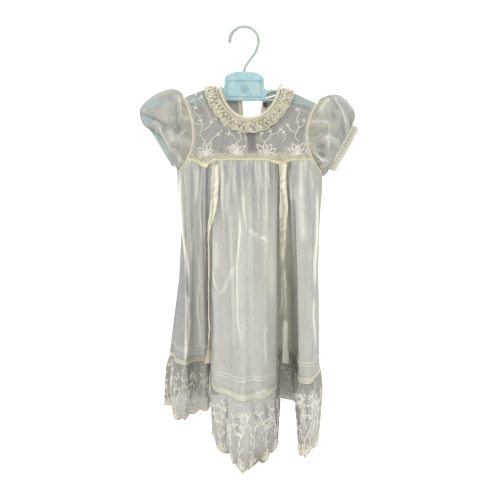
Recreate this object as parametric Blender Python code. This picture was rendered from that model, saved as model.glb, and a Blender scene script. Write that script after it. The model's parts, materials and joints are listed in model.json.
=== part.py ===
# A sheer christening gown hanging on a small moulded baby hanger.
# Origin: the top of the inside of the hanger's hook. The gown's front faces -Y, Z is
# up, and left and right are as seen from the front, so X runs to the right.
# Tables and sizes are in millimetres, angles in degrees unless a line says otherwise.

import math
from collections import namedtuple

import bmesh
import bpy
import numpy as np

MM = 0.001
WALL = 1.0            # thickness of the single cloth
DOUBLE_WALL = 1.4     # folded bands: neckband, plackets, cuffs
SEAM_GAP = 0.3        # between neighbouring pieces at a seam
CLOSE = 0.01          # places nearer than this count as one
TINY = 1e-9           # keeps a zero length from being divided by

# Hanger
HOOK_WIRE = 2.4       # radius of the hook's wire
HOOK_RING = 24.5      # radius of the hook's bend, to the wire's centre
HOOK_TURN = (168, -33, -12)  # the bend's first angle, its limit and its step
HOOK_TIP = 3.0        # straight end beyond the bend
PLAQUE_TOP_Z = -73.5
BODY_DEPTH = 5.0
BODY_ROUND = 1.3
BODY_EDGE_ANGLE = 60.0  # only sharper edges are rounded
RIM_HEIGHT = 0.9      # the plaque's raised rim and flower
RAISED_ROOT = 1.0     # how deep they start inside the plaque
RIM_WIDTH = 1.6
RIM_SIZE = (58.0, 27.0)
RIM_CENTRE_Z = -104.0
PETAL_COUNT = 6
PETAL_RADIUS = 2.6
PETAL_REACH = 6.0     # from the flower's middle to a petal's middle
DISC_SIDES = 14

# Bodice
GOWN_X = 9.0          # the gown's centre line
RIDGE_LIFT = 1.9      # shoulder cloth above the hanger's arm
BODICE_DEPTH = 25.0   # half depth of the bodice, front to back
SIDE_LESS = 3.0       # less depth at the armholes, which are SIDE_REACH from the centre line
SIDE_REACH = 100.0
ROUND_DROP = 70.0     # below the ridge, where the front stands upright
NECK_HALF = 54.0
NECK_TOP_Z = -102.4
NECK_DROP_FRONT = 64.0
NECK_DROP_BACK = 13.0
NECK_CURVE = 1.2
OPEN_LEFT = (-3.0, 4.5)    # x of the back opening's left edge, at neck and at seam
OPEN_RIGHT = (32.0, 12.5)  # x of its right edge
PLACKET = 8.0
YOKE_SEAM_Z = -228.5

# Skirt
BAND_TOP_Z = -556.0
BAND_HEIGHT = 6.0
HEM_Z = -644.0
SCALLOP = 5.0
FLOUNCE_BULGE = 4.0
FLOUNCE_ROUND = 0.7   # below 1, it stands out most above its middle
FRONT_COLUMNS = (4, 70, 4)   # left armhole, yoke seam, right armhole
BACK_COLUMNS = (6, 54, 6)    # right armhole, yoke seam, left armhole
GATHER = 3                   # columns in one gather, scallop or frill wave
GATHER_SIZE = 1.5
GATHER_UNEVEN = 0.28           # share by which gathers differ in depth
GATHER_RHYTHM = 2.4            # radians from one gather's depth to the next one's
FLOUNCE_WAVE = 1.05
SEAM_WEIGHT = 2.0              # what the seam's length counts for in the columns' spacing
CURVE_STEPS = 16

Spot = namedtuple("Spot", "x z")
ARM_TOP = [Spot(33.8, -104.2), Spot(45, -104.6), Spot(58, -105.6), Spot(75, -109.8),
           Spot(88, -114.6), Spot(102, -120.8), Spot(124, -131.0)]
PLAQUE_EDGE = [Spot(0, -73.5), Spot(12, -74.2), Spot(22, -76.2), Spot(29, -79.5), Spot(33, -84),
               Spot(33.8, -90), Spot(33.8, -98), Spot(35.2, -102), Spot(38.5, -104.2)]
ARM_END = [Spot(129, -135), Spot(131, -140), Spot(129.5, -145.5), Spot(125, -149.5)]
ARM_UNDER = [Spot(116, -149.5), Spot(102, -144.5), Spot(85, -136.5), Spot(70, -130),
             Spot(56, -126), Spot(45, -124.3), Spot(33, -123.5)]
INNER_HOLE = [Spot(34, -120.6), Spot(38.9, -112.4), Spot(45.7, -108.8), Spot(55.9, -108.9),
              Spot(66, -111.8), Spot(70.5, -116.5), Spot(69, -121), Spot(56, -121.6)]
OUTER_HOLE = [Spot(84, -129), Spot(92, -130), Spot(102, -131.5), Spot(112, -136), Spot(121, -141.5),
              Spot(122, -145), Spot(112, -143.5), Spot(98, -137.5), Spot(86, -132.5)]
HOOK_SHANK = [Spot(22.8, -38.5), Spot(17.5, -46.5), Spot(9.5, -55.5), Spot(3.0, -63.5), Spot(0.0, -69.5)]

# Armholes: outermost and innermost points seen from the front
Armhole = namedtuple("Armhole", "top_x top_z front_x front_z under_x under_z")
ARMHOLES = {
    "left": Armhole(-102.0, -119.0, -83.5, -195.0, -112.0, -253.0),
    "right": Armhole(124.0, -129.2, 103.5, -195.0, 131.0, -253.0),
}

# Skirt folds: where each line of cloth starts on the yoke seam, where it ends in the
# hem's plan, and how far it bows sideways halfway down.
Fold = namedtuple("Fold", "seam_x hem_x hem_y bow_x")
FRONT_FOLDS = [
    Fold(-112.0, -96, -48, 9),
    Fold(None, -86, -18, 6),
    Fold(-80, -74, -8, 3),
    Fold(-70, -64, -6, 0),
    Fold(-63, -62, 12, 0),
    Fold(-58, -59, 47, 0),      # left valley
    Fold(-53, -40, -135, -2),   # left edge of the middle fold
    Fold(-38, -21, -157, 0),
    Fold(-2, 2, -200, 0),       # its foremost point
    Fold(12, 15, -183, 0),
    Fold(25, 25, -177, 0),
    Fold(48, 44, -138, 0),
    Fold(54, 50, -95, 0),
    Fold(58, 61, 47, 0),        # right valley
    Fold(63, 82, 49, 0),
    Fold(66, 92, 25, 0),
    Fold(70, 89, -37, 2),
    Fold(73, 84, -81, 4),
    Fold(78, 75, -154, 4),      # crest of the right fold
    Fold(None, 81, -161, 4),
    Fold(131.0, 90, -147, 0),
]
BACK_FOLDS = [
    Fold(131.0, 90, -147, 0),
    Fold(125, 108, -108, 3),
    Fold(118, 124, -20, 0),
    Fold(None, 132, 34, 0),
    Fold(98, 112, 88, 0),
    Fold(80, 78, 66, 0),
    Fold(55, 40, 104, 0),
    Fold(22, 4, 64, 0),
    Fold(-10, -34, 102, 0),
    Fold(-45, -70, 58, 0),
    Fold(-70, -104, 98, 0),
    Fold(None, -134, 60, 0),
    Fold(-96, -141, 26, 0),
    Fold(-100, -129, 18, 0),
    Fold(-106, -112, -36, 0),
    Fold(-112.0, -96, -48, 9),
]

# How far the yoke's scalloped edge hangs below the yoke seam
EdgeDrop = namedtuple("EdgeDrop", "x drop")
EDGE_DROPS = [EdgeDrop(-92, 0.6), EdgeDrop(-80, 1.5), EdgeDrop(-74, 6), EdgeDrop(-69, 10.5),
              EdgeDrop(-63, 12), EdgeDrop(-56, 9.5), EdgeDrop(-50, 4), EdgeDrop(-46, 2), EdgeDrop(38, 2.5),
              EdgeDrop(46, 6), EdgeDrop(57, 8.5), EdgeDrop(69, 5.5), EdgeDrop(78, 2), EdgeDrop(112, 1)]

# Sleeves: how far each station of the tube stands off the straight line from armhole to
# cuff, along its top, front and underside. "out" is away from the body.
Station = namedtuple("Station", "along top_out top_up side_out side_puff side_up under_out under_up")
SLEEVES = {
    "left": [
        Station(0.00, 0, 0, 0, 0, 0, 0, 0),
        Station(0.07, 2, 11, 2, 4, 0, 0, 1),
        Station(0.18, 8, 21, 4, 11, 2, 0, 1),
        Station(0.35, 24, 23, 9, 16, 4, 1, 1),
        Station(0.54, 38, 15, 14, 17, 3, 1, 1),
        Station(0.72, 40, 7, 12, 13, 1, 1, 1),
        Station(0.86, 25, -8, 8, 8, 0, 0, 0),
        Station(1.00, 0, 0, 0, 0, 0, 0, 0),
    ],
    "right": [
        Station(0.00, 0, 0, 0, 0, 0, 0, 0),
        Station(0.07, 1, 9, 2, 4, 0, 0, 0),
        Station(0.18, 5, 18, 3, 12, 3, 1, -1),
        Station(0.35, 8, 26, 5, 20, 6, 3, -2),
        Station(0.54, 10, 27, 7, 22, 6, 3, -3),
        Station(0.72, 11, 22, 7, 19, 5, 3, -3),
        Station(0.88, 9, 13, 4, 11, 2, 1, -2),
        Station(1.00, 0, 0, 0, 0, 0, 0, 0),
    ],
}
# Cuffs: middle of the gathered ring and of the free ring, the ring's tilt from upright
# in degrees, its long and short half axes, and how far it lies inside the sleeve's end
Cuff = namedtuple("Cuff", "inner_x inner_z outer_x outer_z tilt half_long half_deep inside")
CUFFS = {
    "left": Cuff(-131.0, -196.5, -139.5, -205.5, -31.0, 36.5, 19.0, 1.7),
    "right": Cuff(163.0, -201.0, 174.5, -207.5, 29.5, 43.0, 16.0, 1.4),
}
ARMHOLE_GAP = 0.5     # between the sleeve and the armhole's edge
SLEEVE_CREASE = 9.0   # depth of the left sleeve's overhanging crease
CREASE_ANGLE = 1.25   # where it lies round the sleeve, in radians from the top
CREASE_HALF = 0.22
SLEEVE_GATHER = 1.2   # size of the gathers
GATHER_MIDDLE = 0.25  # what is left of them in the middle of the sleeve
GATHER_REACH = (0.16, 0.20)  # how far they run in from the armhole and from the cuff

COLLAR_WIDTH = 19.0
COLLAR_WAVE = 1.5
COLLAR_SCALLOP = 2.0
COLLAR_GATHERS = (14, 3)     # round the front, and along each half of the back
CollarRow = namedtuple("CollarRow", "share lift wave")
COLLAR_ROWS = [CollarRow(0.02, 1.9, 0.0), CollarRow(0.36, 3.4, 0.5), CollarRow(0.70, 4.3, 0.85),
               CollarRow(1.0, 5.0, 1.0)]
NECKBAND_RISE = 7.0
NECKBAND_SIDE_LESS = 2.5
NECKBAND_LEAN = (1.5, 6.0)   # toward the neck at the middle, and the more at the shoulders
BAND_GAP = (0.9, 0.7)        # above the neckline at the middle, and the more at the shoulders
BACK_SPANS = 6               # of the neckline, along each half of the back
TIP_RISE = 5.0               # the upright end of the neckband at the right shoulder
TIP_HALF = 11.0
TIP_UPRIGHT = 0.75

# The yoke's edging: height above the seam of its upper rows, and lift off the cloth of all
EDGING_UP = (9.0, 4.0)
EDGING_LIFT = (1.4, 1.7, 2.6, 3.6)
EDGING_LINES = 36
EDGING_START = 0.4           # columns in from the armholes' corners

# Ribbons: centre line, half width and turn of each station
RibbonSpot = namedtuple("RibbonSpot", "z x y half turn")
RIGHT_RIBBON = [
    RibbonSpot(-237.5, 64, -28.6, 7.0, 0), RibbonSpot(-262, 64, -30.5, 6.8, 8),
    RibbonSpot(-300, 64.5, -31.5, 6.8, -6), RibbonSpot(-345, 64, -31.0, 6.5, 5),
    RibbonSpot(-385, 63.5, -31.0, 6.5, 15), RibbonSpot(-406, 64, -31.0, 6.0, 62),
    RibbonSpot(-420, 64.5, -31.0, 6.5, 20), RibbonSpot(-450, 65, -31.0, 6.5, -5),
    RibbonSpot(-470, 65, -31.0, 6.3, -50), RibbonSpot(-486, 66, -31.0, 6.0, -110),
    RibbonSpot(-502, 67, -31.0, 6.5, -165), RibbonSpot(-530, 67.5, -30.0, 7.0, -180),
    RibbonSpot(-562, 68, -29.0, 7.0, -188),
]
# The left ribbon lies on the middle fold: its height, its place among FRONT_FOLDS' rows,
# its half width, its turn away from the cloth and its lift off it
FoldSpot = namedtuple("FoldSpot", "z place half turn lift")
LEFT_RIBBON = [
    FoldSpot(-240, 6.45, 6.5, 0, 3.2), FoldSpot(-258, 6.45, 6.5, 0, 3.6), FoldSpot(-280, 6.42, 6.0, 0, 4.3),
    FoldSpot(-305, 6.32, 6.0, 0, 4.4), FoldSpot(-328, 6.14, 5.5, 0, 4.4), FoldSpot(-348, 5.95, 5.5, 0, 4.4),
    FoldSpot(-372, 5.86, 6.0, 0, 4.2), FoldSpot(-410, 5.84, 6.0, 0, 4.0), FoldSpot(-460, 5.82, 6.0, 0, 4.0),
    FoldSpot(-500, 5.80, 6.0, 0, 4.0), FoldSpot(-530, 5.80, 6.0, 35, 5.5), FoldSpot(-547, 5.80, 6.0, 60, 7.0),
]

# Fasteners
SNAP = (36.6, 14.6, -124.5)
SNAP_RADIUS = 4.0
NECK_HOOK = (62.2, -1.6, -97.0)
NECK_HOOK_RADIUS = 1.7
FASTENER_HEIGHT = 1.6
RIBBON_STEP = 0.12    # of a fold table's row, for the slope of the cloth under the ribbon


# ---------------------------------------------------------------- meshes and grids

def make_material(name, colour, roughness, metallic=0.0):
    material = bpy.data.materials.new(name)
    material.use_nodes = True
    shader = material.node_tree.nodes["Principled BSDF"]
    shader.inputs["Base Color"].default_value = (*colour, 1.0)
    shader.inputs["Roughness"].default_value = roughness
    shader.inputs["Metallic"].default_value = metallic
    return material


def add_object(name, points, faces, material, smooth=True):
    mesh = bpy.data.meshes.new(name)
    mesh.from_pydata([tuple(np.asarray(p) * MM) for p in points], [], faces)
    shape = bmesh.new()
    shape.from_mesh(mesh)
    bmesh.ops.recalc_face_normals(shape, faces=shape.faces)
    shape.to_mesh(mesh)
    shape.free()
    if smooth:
        mesh.shade_smooth()
    mesh.materials.append(material)
    made = bpy.data.objects.new(name, mesh)
    bpy.context.scene.collection.objects.link(made)
    return made


def unit(vectors):
    length = np.linalg.norm(vectors, axis=-1, keepdims=True)
    return vectors / np.maximum(length, TINY)


def grid_normals(grid, closed=False):
    """Normals of rows running down and columns running to the right, facing the viewer."""
    if closed:
        across = np.roll(grid, -1, axis=1) - np.roll(grid, 1, axis=1)
    else:
        across = np.gradient(grid, axis=1)
    down = np.gradient(grid, axis=0)
    return unit(np.cross(down, across))


def flat_in(normals, axis):
    """Normals with one axis taken out, for an edge that butts on the next piece."""
    level = normals.copy()
    level[..., axis] = 0.0
    return unit(level)


def pull_back(outer, inner, edge, amount):
    """Moves one edge of a wall toward its next line of points."""
    place, beside = {"top": ((0,), (1,)), "bottom": ((-1,), (-2,)),
                     "first": ((slice(None), 0), (slice(None), 1)),
                     "last": ((slice(None), -1), (slice(None), -2))}[edge]
    for grid in (outer, inner):
        grid[place] += unit(grid[beside] - grid[place]) * amount


def cloth_wall(name, outer, inner, material, closed=False):
    """A wall between two grids of points, closed round its edges."""
    rows, columns = outer.shape[:2]
    count = rows * columns
    points = np.concatenate([outer.reshape(-1, 3), inner.reshape(-1, 3)])
    faces = []
    spans = columns if closed else columns - 1
    for r in range(rows - 1):
        for c in range(spans):
            a, b = r * columns + c, r * columns + (c + 1) % columns
            d, e = a + columns, b + columns
            faces += [(a, d, e), (a, e, b)]
            faces += [(count + a, count + e, count + d), (count + a, count + b, count + e)]
    for c in range(spans):
        after = (c + 1) % columns
        faces += [(c, after, count + after, count + c)]
        low, low_after = (rows - 1) * columns + c, (rows - 1) * columns + after
        faces += [(low_after, low, count + low, count + low_after)]
    if not closed:
        for r in range(rows - 1):
            a, d = r * columns, (r + 1) * columns
            faces += [(a, count + a, count + d, d)]
            b, e = a + columns - 1, d + columns - 1
            faces += [(b, e, count + e, count + b)]
    return add_object(name, points, faces, material)


# ---------------------------------------------------------------- bodice form

def arm_top_z(x):
    xs = [spot.x for spot in ARM_TOP]
    zs = [spot.z for spot in ARM_TOP]
    return np.interp(np.abs(x), xs, zs)


def ridge_z(x):
    """Height of the shoulder line, level across the neck."""
    side = arm_top_z(x) + RIDGE_LIFT
    return np.minimum(side, NECK_TOP_Z)


def bodice_depth(x, z):
    """How far the bodice stands off the hanger's middle plane, front and back alike."""
    sideways = (np.asarray(x) - GOWN_X) / SIDE_REACH
    depth = BODICE_DEPTH - SIDE_LESS * sideways ** 2
    drop = np.clip((ridge_z(x) - z) / ROUND_DROP, 0.0, 1.0)
    return depth * np.sqrt(np.maximum(0.0, 1.0 - (1.0 - drop) ** 2))


def armhole_outline(side, angle):
    """X and Z round an armhole: 0 at the shoulder, pi under the arm."""
    hole = ARMHOLES[side]
    turn, twice = np.cos(angle), np.cos(2 * np.asarray(angle))
    x = ((hole.top_x + hole.under_x + 2 * hole.front_x) / 4 + (hole.top_x - hole.under_x) / 2 * turn
         + (hole.top_x + hole.under_x - 2 * hole.front_x) / 4 * twice)
    z = ((hole.top_z + hole.under_z + 2 * hole.front_z) / 4 + (hole.top_z - hole.under_z) / 2 * turn
         + (hole.top_z + hole.under_z - 2 * hole.front_z) / 4 * twice)
    return x, z


ANGLES = np.linspace(0.0, math.pi, 361)
UNDERARM_STEPS = 60


def armhole_x(side, z):
    xs, zs = armhole_outline(side, ANGLES)
    return np.interp(-np.asarray(z), -zs, xs)


def corner_angle(side):
    zs = armhole_outline(side, ANGLES)[1]
    return float(np.interp(-YOKE_SEAM_Z, -zs, ANGLES))


CORNER_X = {side: float(armhole_x(side, YOKE_SEAM_Z)) for side in ARMHOLES}


def underarm_point(side, t, front):
    """The skirt's part of the armhole: 0 at the yoke's corner, 1 under the arm."""
    start = corner_angle(side)
    x, z = armhole_outline(side, start + (math.pi - start) * t)
    depth = bodice_depth(CORNER_X[side], YOKE_SEAM_Z) * np.sqrt(np.maximum(0.0, 1.0 - t * t))
    return np.array([x, -depth if front else depth, z])


def seam_point(x, front):
    """A point of the skirt's top edge by its x: yoke seam, or armhole beyond the corners."""
    for side in ARMHOLES:
        under = ARMHOLES[side].under_x
        beyond = (x - CORNER_X[side]) / (under - CORNER_X[side])
        if beyond > 0:
            ts = np.linspace(0.0, 1.0, UNDERARM_STEPS)
            xs = np.array([underarm_point(side, t, front)[0] for t in ts])
            reach = (xs - CORNER_X[side]) / (under - CORNER_X[side])
            return underarm_point(side, float(np.interp(min(beyond, 1.0), reach, ts)), front)
    depth = float(bodice_depth(x, YOKE_SEAM_Z))
    return np.array([x, -depth if front else depth, YOKE_SEAM_Z])


# ---------------------------------------------------------------- skirt form

def smooth_between(before, start, end, after, t):
    """A centripetal Catmull-Rom curve from start to end."""
    knots = [0.0]
    for a, b in ((before, start), (start, end), (end, after)):
        knots.append(knots[-1] + max(np.linalg.norm(b - a), TINY) ** 0.5)
    k0, k1, k2, k3 = knots
    k = k1 + (k2 - k1) * t
    a1 = before + (start - before) * (k - k0) / (k1 - k0)
    a2 = start + (end - start) * (k - k1) / (k2 - k1)
    a3 = end + (after - end) * (k - k2) / (k3 - k2)
    b1 = a1 + (a2 - a1) * (k - k0) / (k2 - k0)
    b2 = a2 + (a3 - a2) * (k - k1) / (k3 - k1)
    return b1 + (b2 - b1) * (k - k1) / (k2 - k1)


def hem_loop():
    """All rows of both fold tables once round, the corners' x filled in."""
    rows = []
    for folds, first, second in ((FRONT_FOLDS, "left", "right"), (BACK_FOLDS, "right", "left")):
        sides = [first, second]
        for fold in folds[:-1]:
            x = CORNER_X[sides.pop(0)] if fold.seam_x is None else fold.seam_x
            rows.append(fold._replace(seam_x=x))
    return rows


LOOP = hem_loop()
FRONT_ROWS = len(FRONT_FOLDS) - 1


def loop_values(place):
    """Top point, hem point and bow at a place in LOOP."""
    total = len(LOOP)
    whole = math.floor(place + TINY)
    row = int(whole) % total
    t = float(place - whole)
    after = (row + 1) % total
    spots = [np.array([LOOP[(row + i) % total].hem_x, LOOP[(row + i) % total].hem_y], float)
             for i in (-1, 0, 1, 2)]
    hem = smooth_between(*spots, t)
    seam_x = LOOP[row].seam_x * (1 - t) + LOOP[after].seam_x * t
    bow = LOOP[row].bow_x * (1 - t) + LOOP[after].bow_x * t
    return seam_point(seam_x, row < FRONT_ROWS), hem, bow


def section_columns(first, last, count):
    """Places in LOOP between two of its rows, evenly spread along seam and hem together."""
    places = np.linspace(first, last, CURVE_STEPS * (last - first) + 1)
    spots = []
    for place in places:
        top, hem, _ = loop_values(place)
        spots.append([hem[0], hem[1], top[0] * SEAM_WEIGHT])
    lengths = np.concatenate([[0.0], np.cumsum(np.linalg.norm(np.diff(spots, axis=0), axis=1))])
    wanted = np.linspace(0.0, lengths[-1], count + 1)[:-1]
    return list(np.interp(wanted, lengths, places))


def column_places():
    """The place in LOOP of every column, front first, then back."""
    corners = [i for i, fold in enumerate(FRONT_FOLDS) if fold.seam_x is None]
    back_corners = [FRONT_ROWS + i for i, fold in enumerate(BACK_FOLDS) if fold.seam_x is None]
    bounds = [0, *corners, FRONT_ROWS, *back_corners, len(LOOP)]
    places = []
    for first, last, count in zip(bounds, bounds[1:], FRONT_COLUMNS + BACK_COLUMNS):
        places += section_columns(first, last, count)
    return np.array(places)


PLACES = column_places()
FRONT_COUNT = sum(FRONT_COLUMNS)


def skirt_line(place, heights):
    """Points down one line of the skirt at the given heights."""
    top, hem, bow = loop_values(place)
    fall = (top[2] - heights) / (top[2] - HEM_Z)
    x = top[0] + (hem[0] - top[0]) * fall + bow * 4 * fall * (1 - fall)
    y = top[1] + (hem[1] - top[1]) * fall
    return np.stack([x, y, heights], axis=1)


def column_at(index):
    """Place in LOOP of a fractional column number."""
    return float(np.interp(index, np.arange(len(PLACES) + 1), np.append(PLACES, len(LOOP))))


SKIRT_ROWS = (0.0, 0.025, 0.075, 0.16, 0.30, 0.50, 0.74, 1.0)
GATHER_FADE = (0.35, 1.0, 1.15, 1.0, 0.7, 0.4, 0.2, 0.12)
FLOUNCE_ROWS = (0.0, 0.18, 0.55, 1.0)


def gather_wave(columns):
    """Plus and minus one along the gathers, no two gathers equally deep."""
    number = np.arange(columns)
    depth = 1 - GATHER_UNEVEN * (1 - np.sin(GATHER_RHYTHM * (number // GATHER)))
    return np.cos(2 * math.pi * number / GATHER) * depth


def skirt_surface():
    """Outer and inner points of skirt, band and flounce, row by row round the whole loop."""
    band_bottom = BAND_TOP_Z - BAND_HEIGHT
    lines = []
    for place in PLACES:
        top = loop_values(place)[0]
        skirt = top[2] + (BAND_TOP_Z - top[2]) * np.array(SKIRT_ROWS)
        flounce = band_bottom + (HEM_Z - band_bottom) * np.array(FLOUNCE_ROWS[1:])
        lines.append(skirt_line(place, np.concatenate([skirt, [band_bottom], flounce])))
    base = np.stack(lines, axis=1)
    normals = grid_normals(base, closed=True)

    in_armhole = np.array([place_is_underarm(place) for place in PLACES])
    wave = gather_wave(len(PLACES))
    outward = np.zeros(base.shape[:2])
    for row, fade in enumerate(GATHER_FADE):
        outward[row] = wave * fade * GATHER_SIZE
        if row < 2:
            outward[row][in_armhole] = 0.0
    first_flounce = len(SKIRT_ROWS) + 1
    for row, share in enumerate(FLOUNCE_ROWS[1:], start=first_flounce):
        bulge = FLOUNCE_BULGE * math.sin(math.pi * share ** FLOUNCE_ROUND)
        outward[row] = bulge + wave * FLOUNCE_WAVE * share
    outer = base + normals * outward[..., None]
    scallop = np.sin(math.pi * (np.arange(len(PLACES)) % GATHER) / GATHER)
    outer[-1, :, 2] -= SCALLOP * scallop

    normals = grid_normals(outer, closed=True)
    for row in (0, len(SKIRT_ROWS) - 1, len(SKIRT_ROWS)):
        normals[row] = flat_in(normals[row], 2)
    return outer, outer - normals * WALL


def place_is_underarm(place):
    x = loop_values(place)[0][0]
    return bool(x < CORNER_X["left"] - CLOSE or x > CORNER_X["right"] + CLOSE)


def take(outer, inner, rows, first, last):
    """A copy of some rows, and of the columns from first to last round the loop."""
    chosen = np.arange(first, last + 1) % outer.shape[1]
    return outer[rows][:, chosen].copy(), inner[rows][:, chosen].copy()


def make_skirt(materials):
    outer, inner = skirt_surface()
    skirt_end = len(SKIRT_ROWS)
    parts = [("skirt", slice(0, skirt_end), "voile"), ("band", slice(skirt_end - 1, skirt_end + 1), "seam"),
             ("flounce", slice(skirt_end, None), "embroidered")]
    for name, rows, look in parts:
        for half, first, last in (("front", 0, FRONT_COUNT), ("back", FRONT_COUNT, len(PLACES))):
            out, back = take(outer, inner, rows, first, last)
            for edge in ("top", "bottom"):
                if not (name == "flounce" and edge == "bottom"):
                    pull_back(out, back, edge, SEAM_GAP / 2)
            for edge in ("first", "last"):
                pull_back(out, back, edge, SEAM_GAP / 2)
            cloth_wall(f"{name}_{half}", out, back, materials[look])
    return outer


# ---------------------------------------------------------------- yoke

YOKE_ROWS = (0.0, 0.007, 0.035, 0.11, 0.27, 0.50, 0.75, 1.0)
SHOULDER_SPANS = 5
NECK_SPANS = 16


def neck_height(share, front):
    """Z of the neckline, share running 0 to 1 across the neck."""
    rise = np.sin(math.pi * np.asarray(share))
    drop = NECK_DROP_FRONT * rise ** NECK_CURVE if front else NECK_DROP_BACK * rise
    return ridge_z(neck_x(share)) - drop


def neck_x(share):
    return GOWN_X - NECK_HALF * np.cos(math.pi * np.asarray(share))


def neck_share(x):
    return math.acos(np.clip((GOWN_X - x) / NECK_HALF, -1.0, 1.0)) / math.pi


def yoke_grid(top_x, seam_x, front, edge_left=None, edge_right=None):
    """Points of a piece of yoke, from its top edge to the yoke seam."""
    top_x, seam_x = np.asarray(top_x), np.asarray(seam_x)
    in_neck = np.abs(top_x - GOWN_X) < NECK_HALF - CLOSE
    share = np.arccos(np.clip((GOWN_X - top_x) / NECK_HALF, -1, 1)) / math.pi
    top_z = np.where(in_neck, neck_height(share, front), ridge_z(top_x))
    across = np.linspace(0.0, 1.0, len(top_x))
    rows = []
    for v in YOKE_ROWS:
        z = top_z + (YOKE_SEAM_Z - top_z) * v
        x = top_x + (seam_x - top_x) * v
        if edge_left:
            x = x + (armhole_x(edge_left, z[0]) - x[0]) * (1 - across) ** 2
        if edge_right:
            x = x + (armhole_x(edge_right, z[-1]) - x[-1]) * across ** 2
        y = bodice_depth(x, z) * (-1 if front else 1)
        rows.append(np.stack([x, y, z], axis=1))
    return np.stack(rows)


def yoke_wall(grid, front, thickness, shoulder):
    """Outer and inner points; `shoulder` marks the columns that start on the ridge."""
    normals = grid_normals(grid) * (1 if front else -1)
    normals[0, shoulder] = flat_in(normals[0, shoulder], 1)
    normals[-1] = flat_in(normals[-1], 2)
    return grid.copy(), grid - normals * thickness


def make_yoke_front(materials):
    left, right = ARMHOLES["left"], ARMHOLES["right"]
    neck_left, neck_right = GOWN_X - NECK_HALF, GOWN_X + NECK_HALF
    necks = neck_x(np.linspace(0, 1, NECK_SPANS + 1))
    top_x = np.concatenate([np.linspace(left.top_x, neck_left, SHOULDER_SPANS + 1)[:-1], necks,
                            np.linspace(neck_right, right.top_x, SHOULDER_SPANS + 1)[1:]])
    seam_x = np.interp(top_x, [left.top_x, right.top_x], [CORNER_X["left"], CORNER_X["right"]])
    grid = yoke_grid(top_x, seam_x, True, "left", "right")
    shoulder = (top_x <= neck_left + CLOSE) | (top_x >= neck_right - CLOSE)
    outer, inner = yoke_wall(grid, True, WALL, shoulder)
    for edge in ("top", "bottom"):
        pull_back(outer, inner, edge, SEAM_GAP / 2)
    cloth_wall("yoke_front", outer, inner, materials["embroidered"])
    return grid


def make_yoke_back(materials):
    """Two halves with their plackets; each runs from its armhole to the open edge."""
    grids = {}
    for side, opening, inward in (("left", OPEN_LEFT, 1), ("right", OPEN_RIGHT, -1)):
        hole = ARMHOLES[side]
        neck_end = GOWN_X - inward * NECK_HALF
        edge_top, edge_seam = (value - inward * PLACKET for value in opening)
        shares = np.linspace(neck_share(neck_end), neck_share(edge_top), BACK_SPANS + 1)
        top_x = np.concatenate([np.linspace(hole.top_x, neck_end, SHOULDER_SPANS + 1)[:-1], neck_x(shares)])
        reach = (top_x - hole.top_x) / (edge_top - hole.top_x)
        seam_x = CORNER_X[side] + (edge_seam - CORNER_X[side]) * reach
        strip_top, strip_seam = np.array([edge_top, opening[0]]), np.array([edge_seam, opening[1]])
        if side == "right":
            top_x, seam_x = top_x[::-1], seam_x[::-1]
            strip_top, strip_seam = strip_top[::-1], strip_seam[::-1]
        grid = yoke_grid(top_x, seam_x, False, side if side == "left" else None,
                         side if side == "right" else None)
        grids[side] = grid
        shoulder = np.abs(top_x - GOWN_X) >= NECK_HALF - CLOSE
        outer, inner = yoke_wall(grid, False, WALL, shoulder)
        for edge in ("top", "bottom", "last" if side == "left" else "first"):
            pull_back(outer, inner, edge, SEAM_GAP / 2)
        cloth_wall(f"yoke_back_{side}", outer, inner, materials["embroidered"])

        strip = yoke_grid(strip_top, strip_seam, False)
        outer, inner = yoke_wall(strip, False, DOUBLE_WALL, np.zeros(2, bool))
        for edge in ("top", "bottom", "first" if side == "left" else "last"):
            pull_back(outer, inner, edge, SEAM_GAP / 2)
        cloth_wall(f"placket_{side}", outer, inner, materials["seam"])
    return grids


# ---------------------------------------------------------------- neck

def neck_loop(front_spans, back_spans):
    """Neckline points from the left open edge, round the front, to the right open edge."""
    left_share = neck_share(OPEN_LEFT[0])
    right_share = neck_share(OPEN_RIGHT[0])
    back_left = np.linspace(left_share, 0.0, back_spans + 1)[:-1]
    front = np.linspace(0.0, 1.0, front_spans + 1)
    back_right = np.linspace(1.0, right_share, back_spans + 1)[1:]
    points = []
    for shares, is_front in ((back_left, False), (front, True), (back_right, False)):
        x, z = neck_x(shares), neck_height(shares, is_front)
        y = bodice_depth(x, z) * (-1 if is_front else 1)
        points.append(np.stack([x, y, z], axis=1))
    return np.concatenate(points)


def make_neckband(materials):
    base = neck_loop(NECK_SPANS, BACK_SPANS)
    away = base[:, :2] - np.array([GOWN_X, 0.0])
    sideways = (np.abs(away[:, 0]) / NECK_HALF) ** 2
    lean = NECKBAND_LEAN[0] + NECKBAND_LEAN[1] * sideways
    near_tip = np.exp(-((base[:, 0] - GOWN_X - NECK_HALF) / TIP_HALF) ** 2 - (base[:, 1] / TIP_HALF) ** 2)
    lean *= 1 - TIP_UPRIGHT * near_tip
    top = base.copy()
    top[:, :2] -= unit(away) * lean[:, None]
    top[:, 2] += NECKBAND_RISE - NECKBAND_SIDE_LESS * sideways + TIP_RISE * near_tip
    down = unit(base - top)
    facing = grid_normals(np.stack([top, base]))
    outer = np.stack([top, base - down * (BAND_GAP[0] + BAND_GAP[1] * sideways)[:, None]])
    facing -= np.sum(facing * down, axis=-1, keepdims=True) * down
    cloth_wall("neckband", outer, outer - unit(facing) * WALL, materials["seam"])


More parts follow.
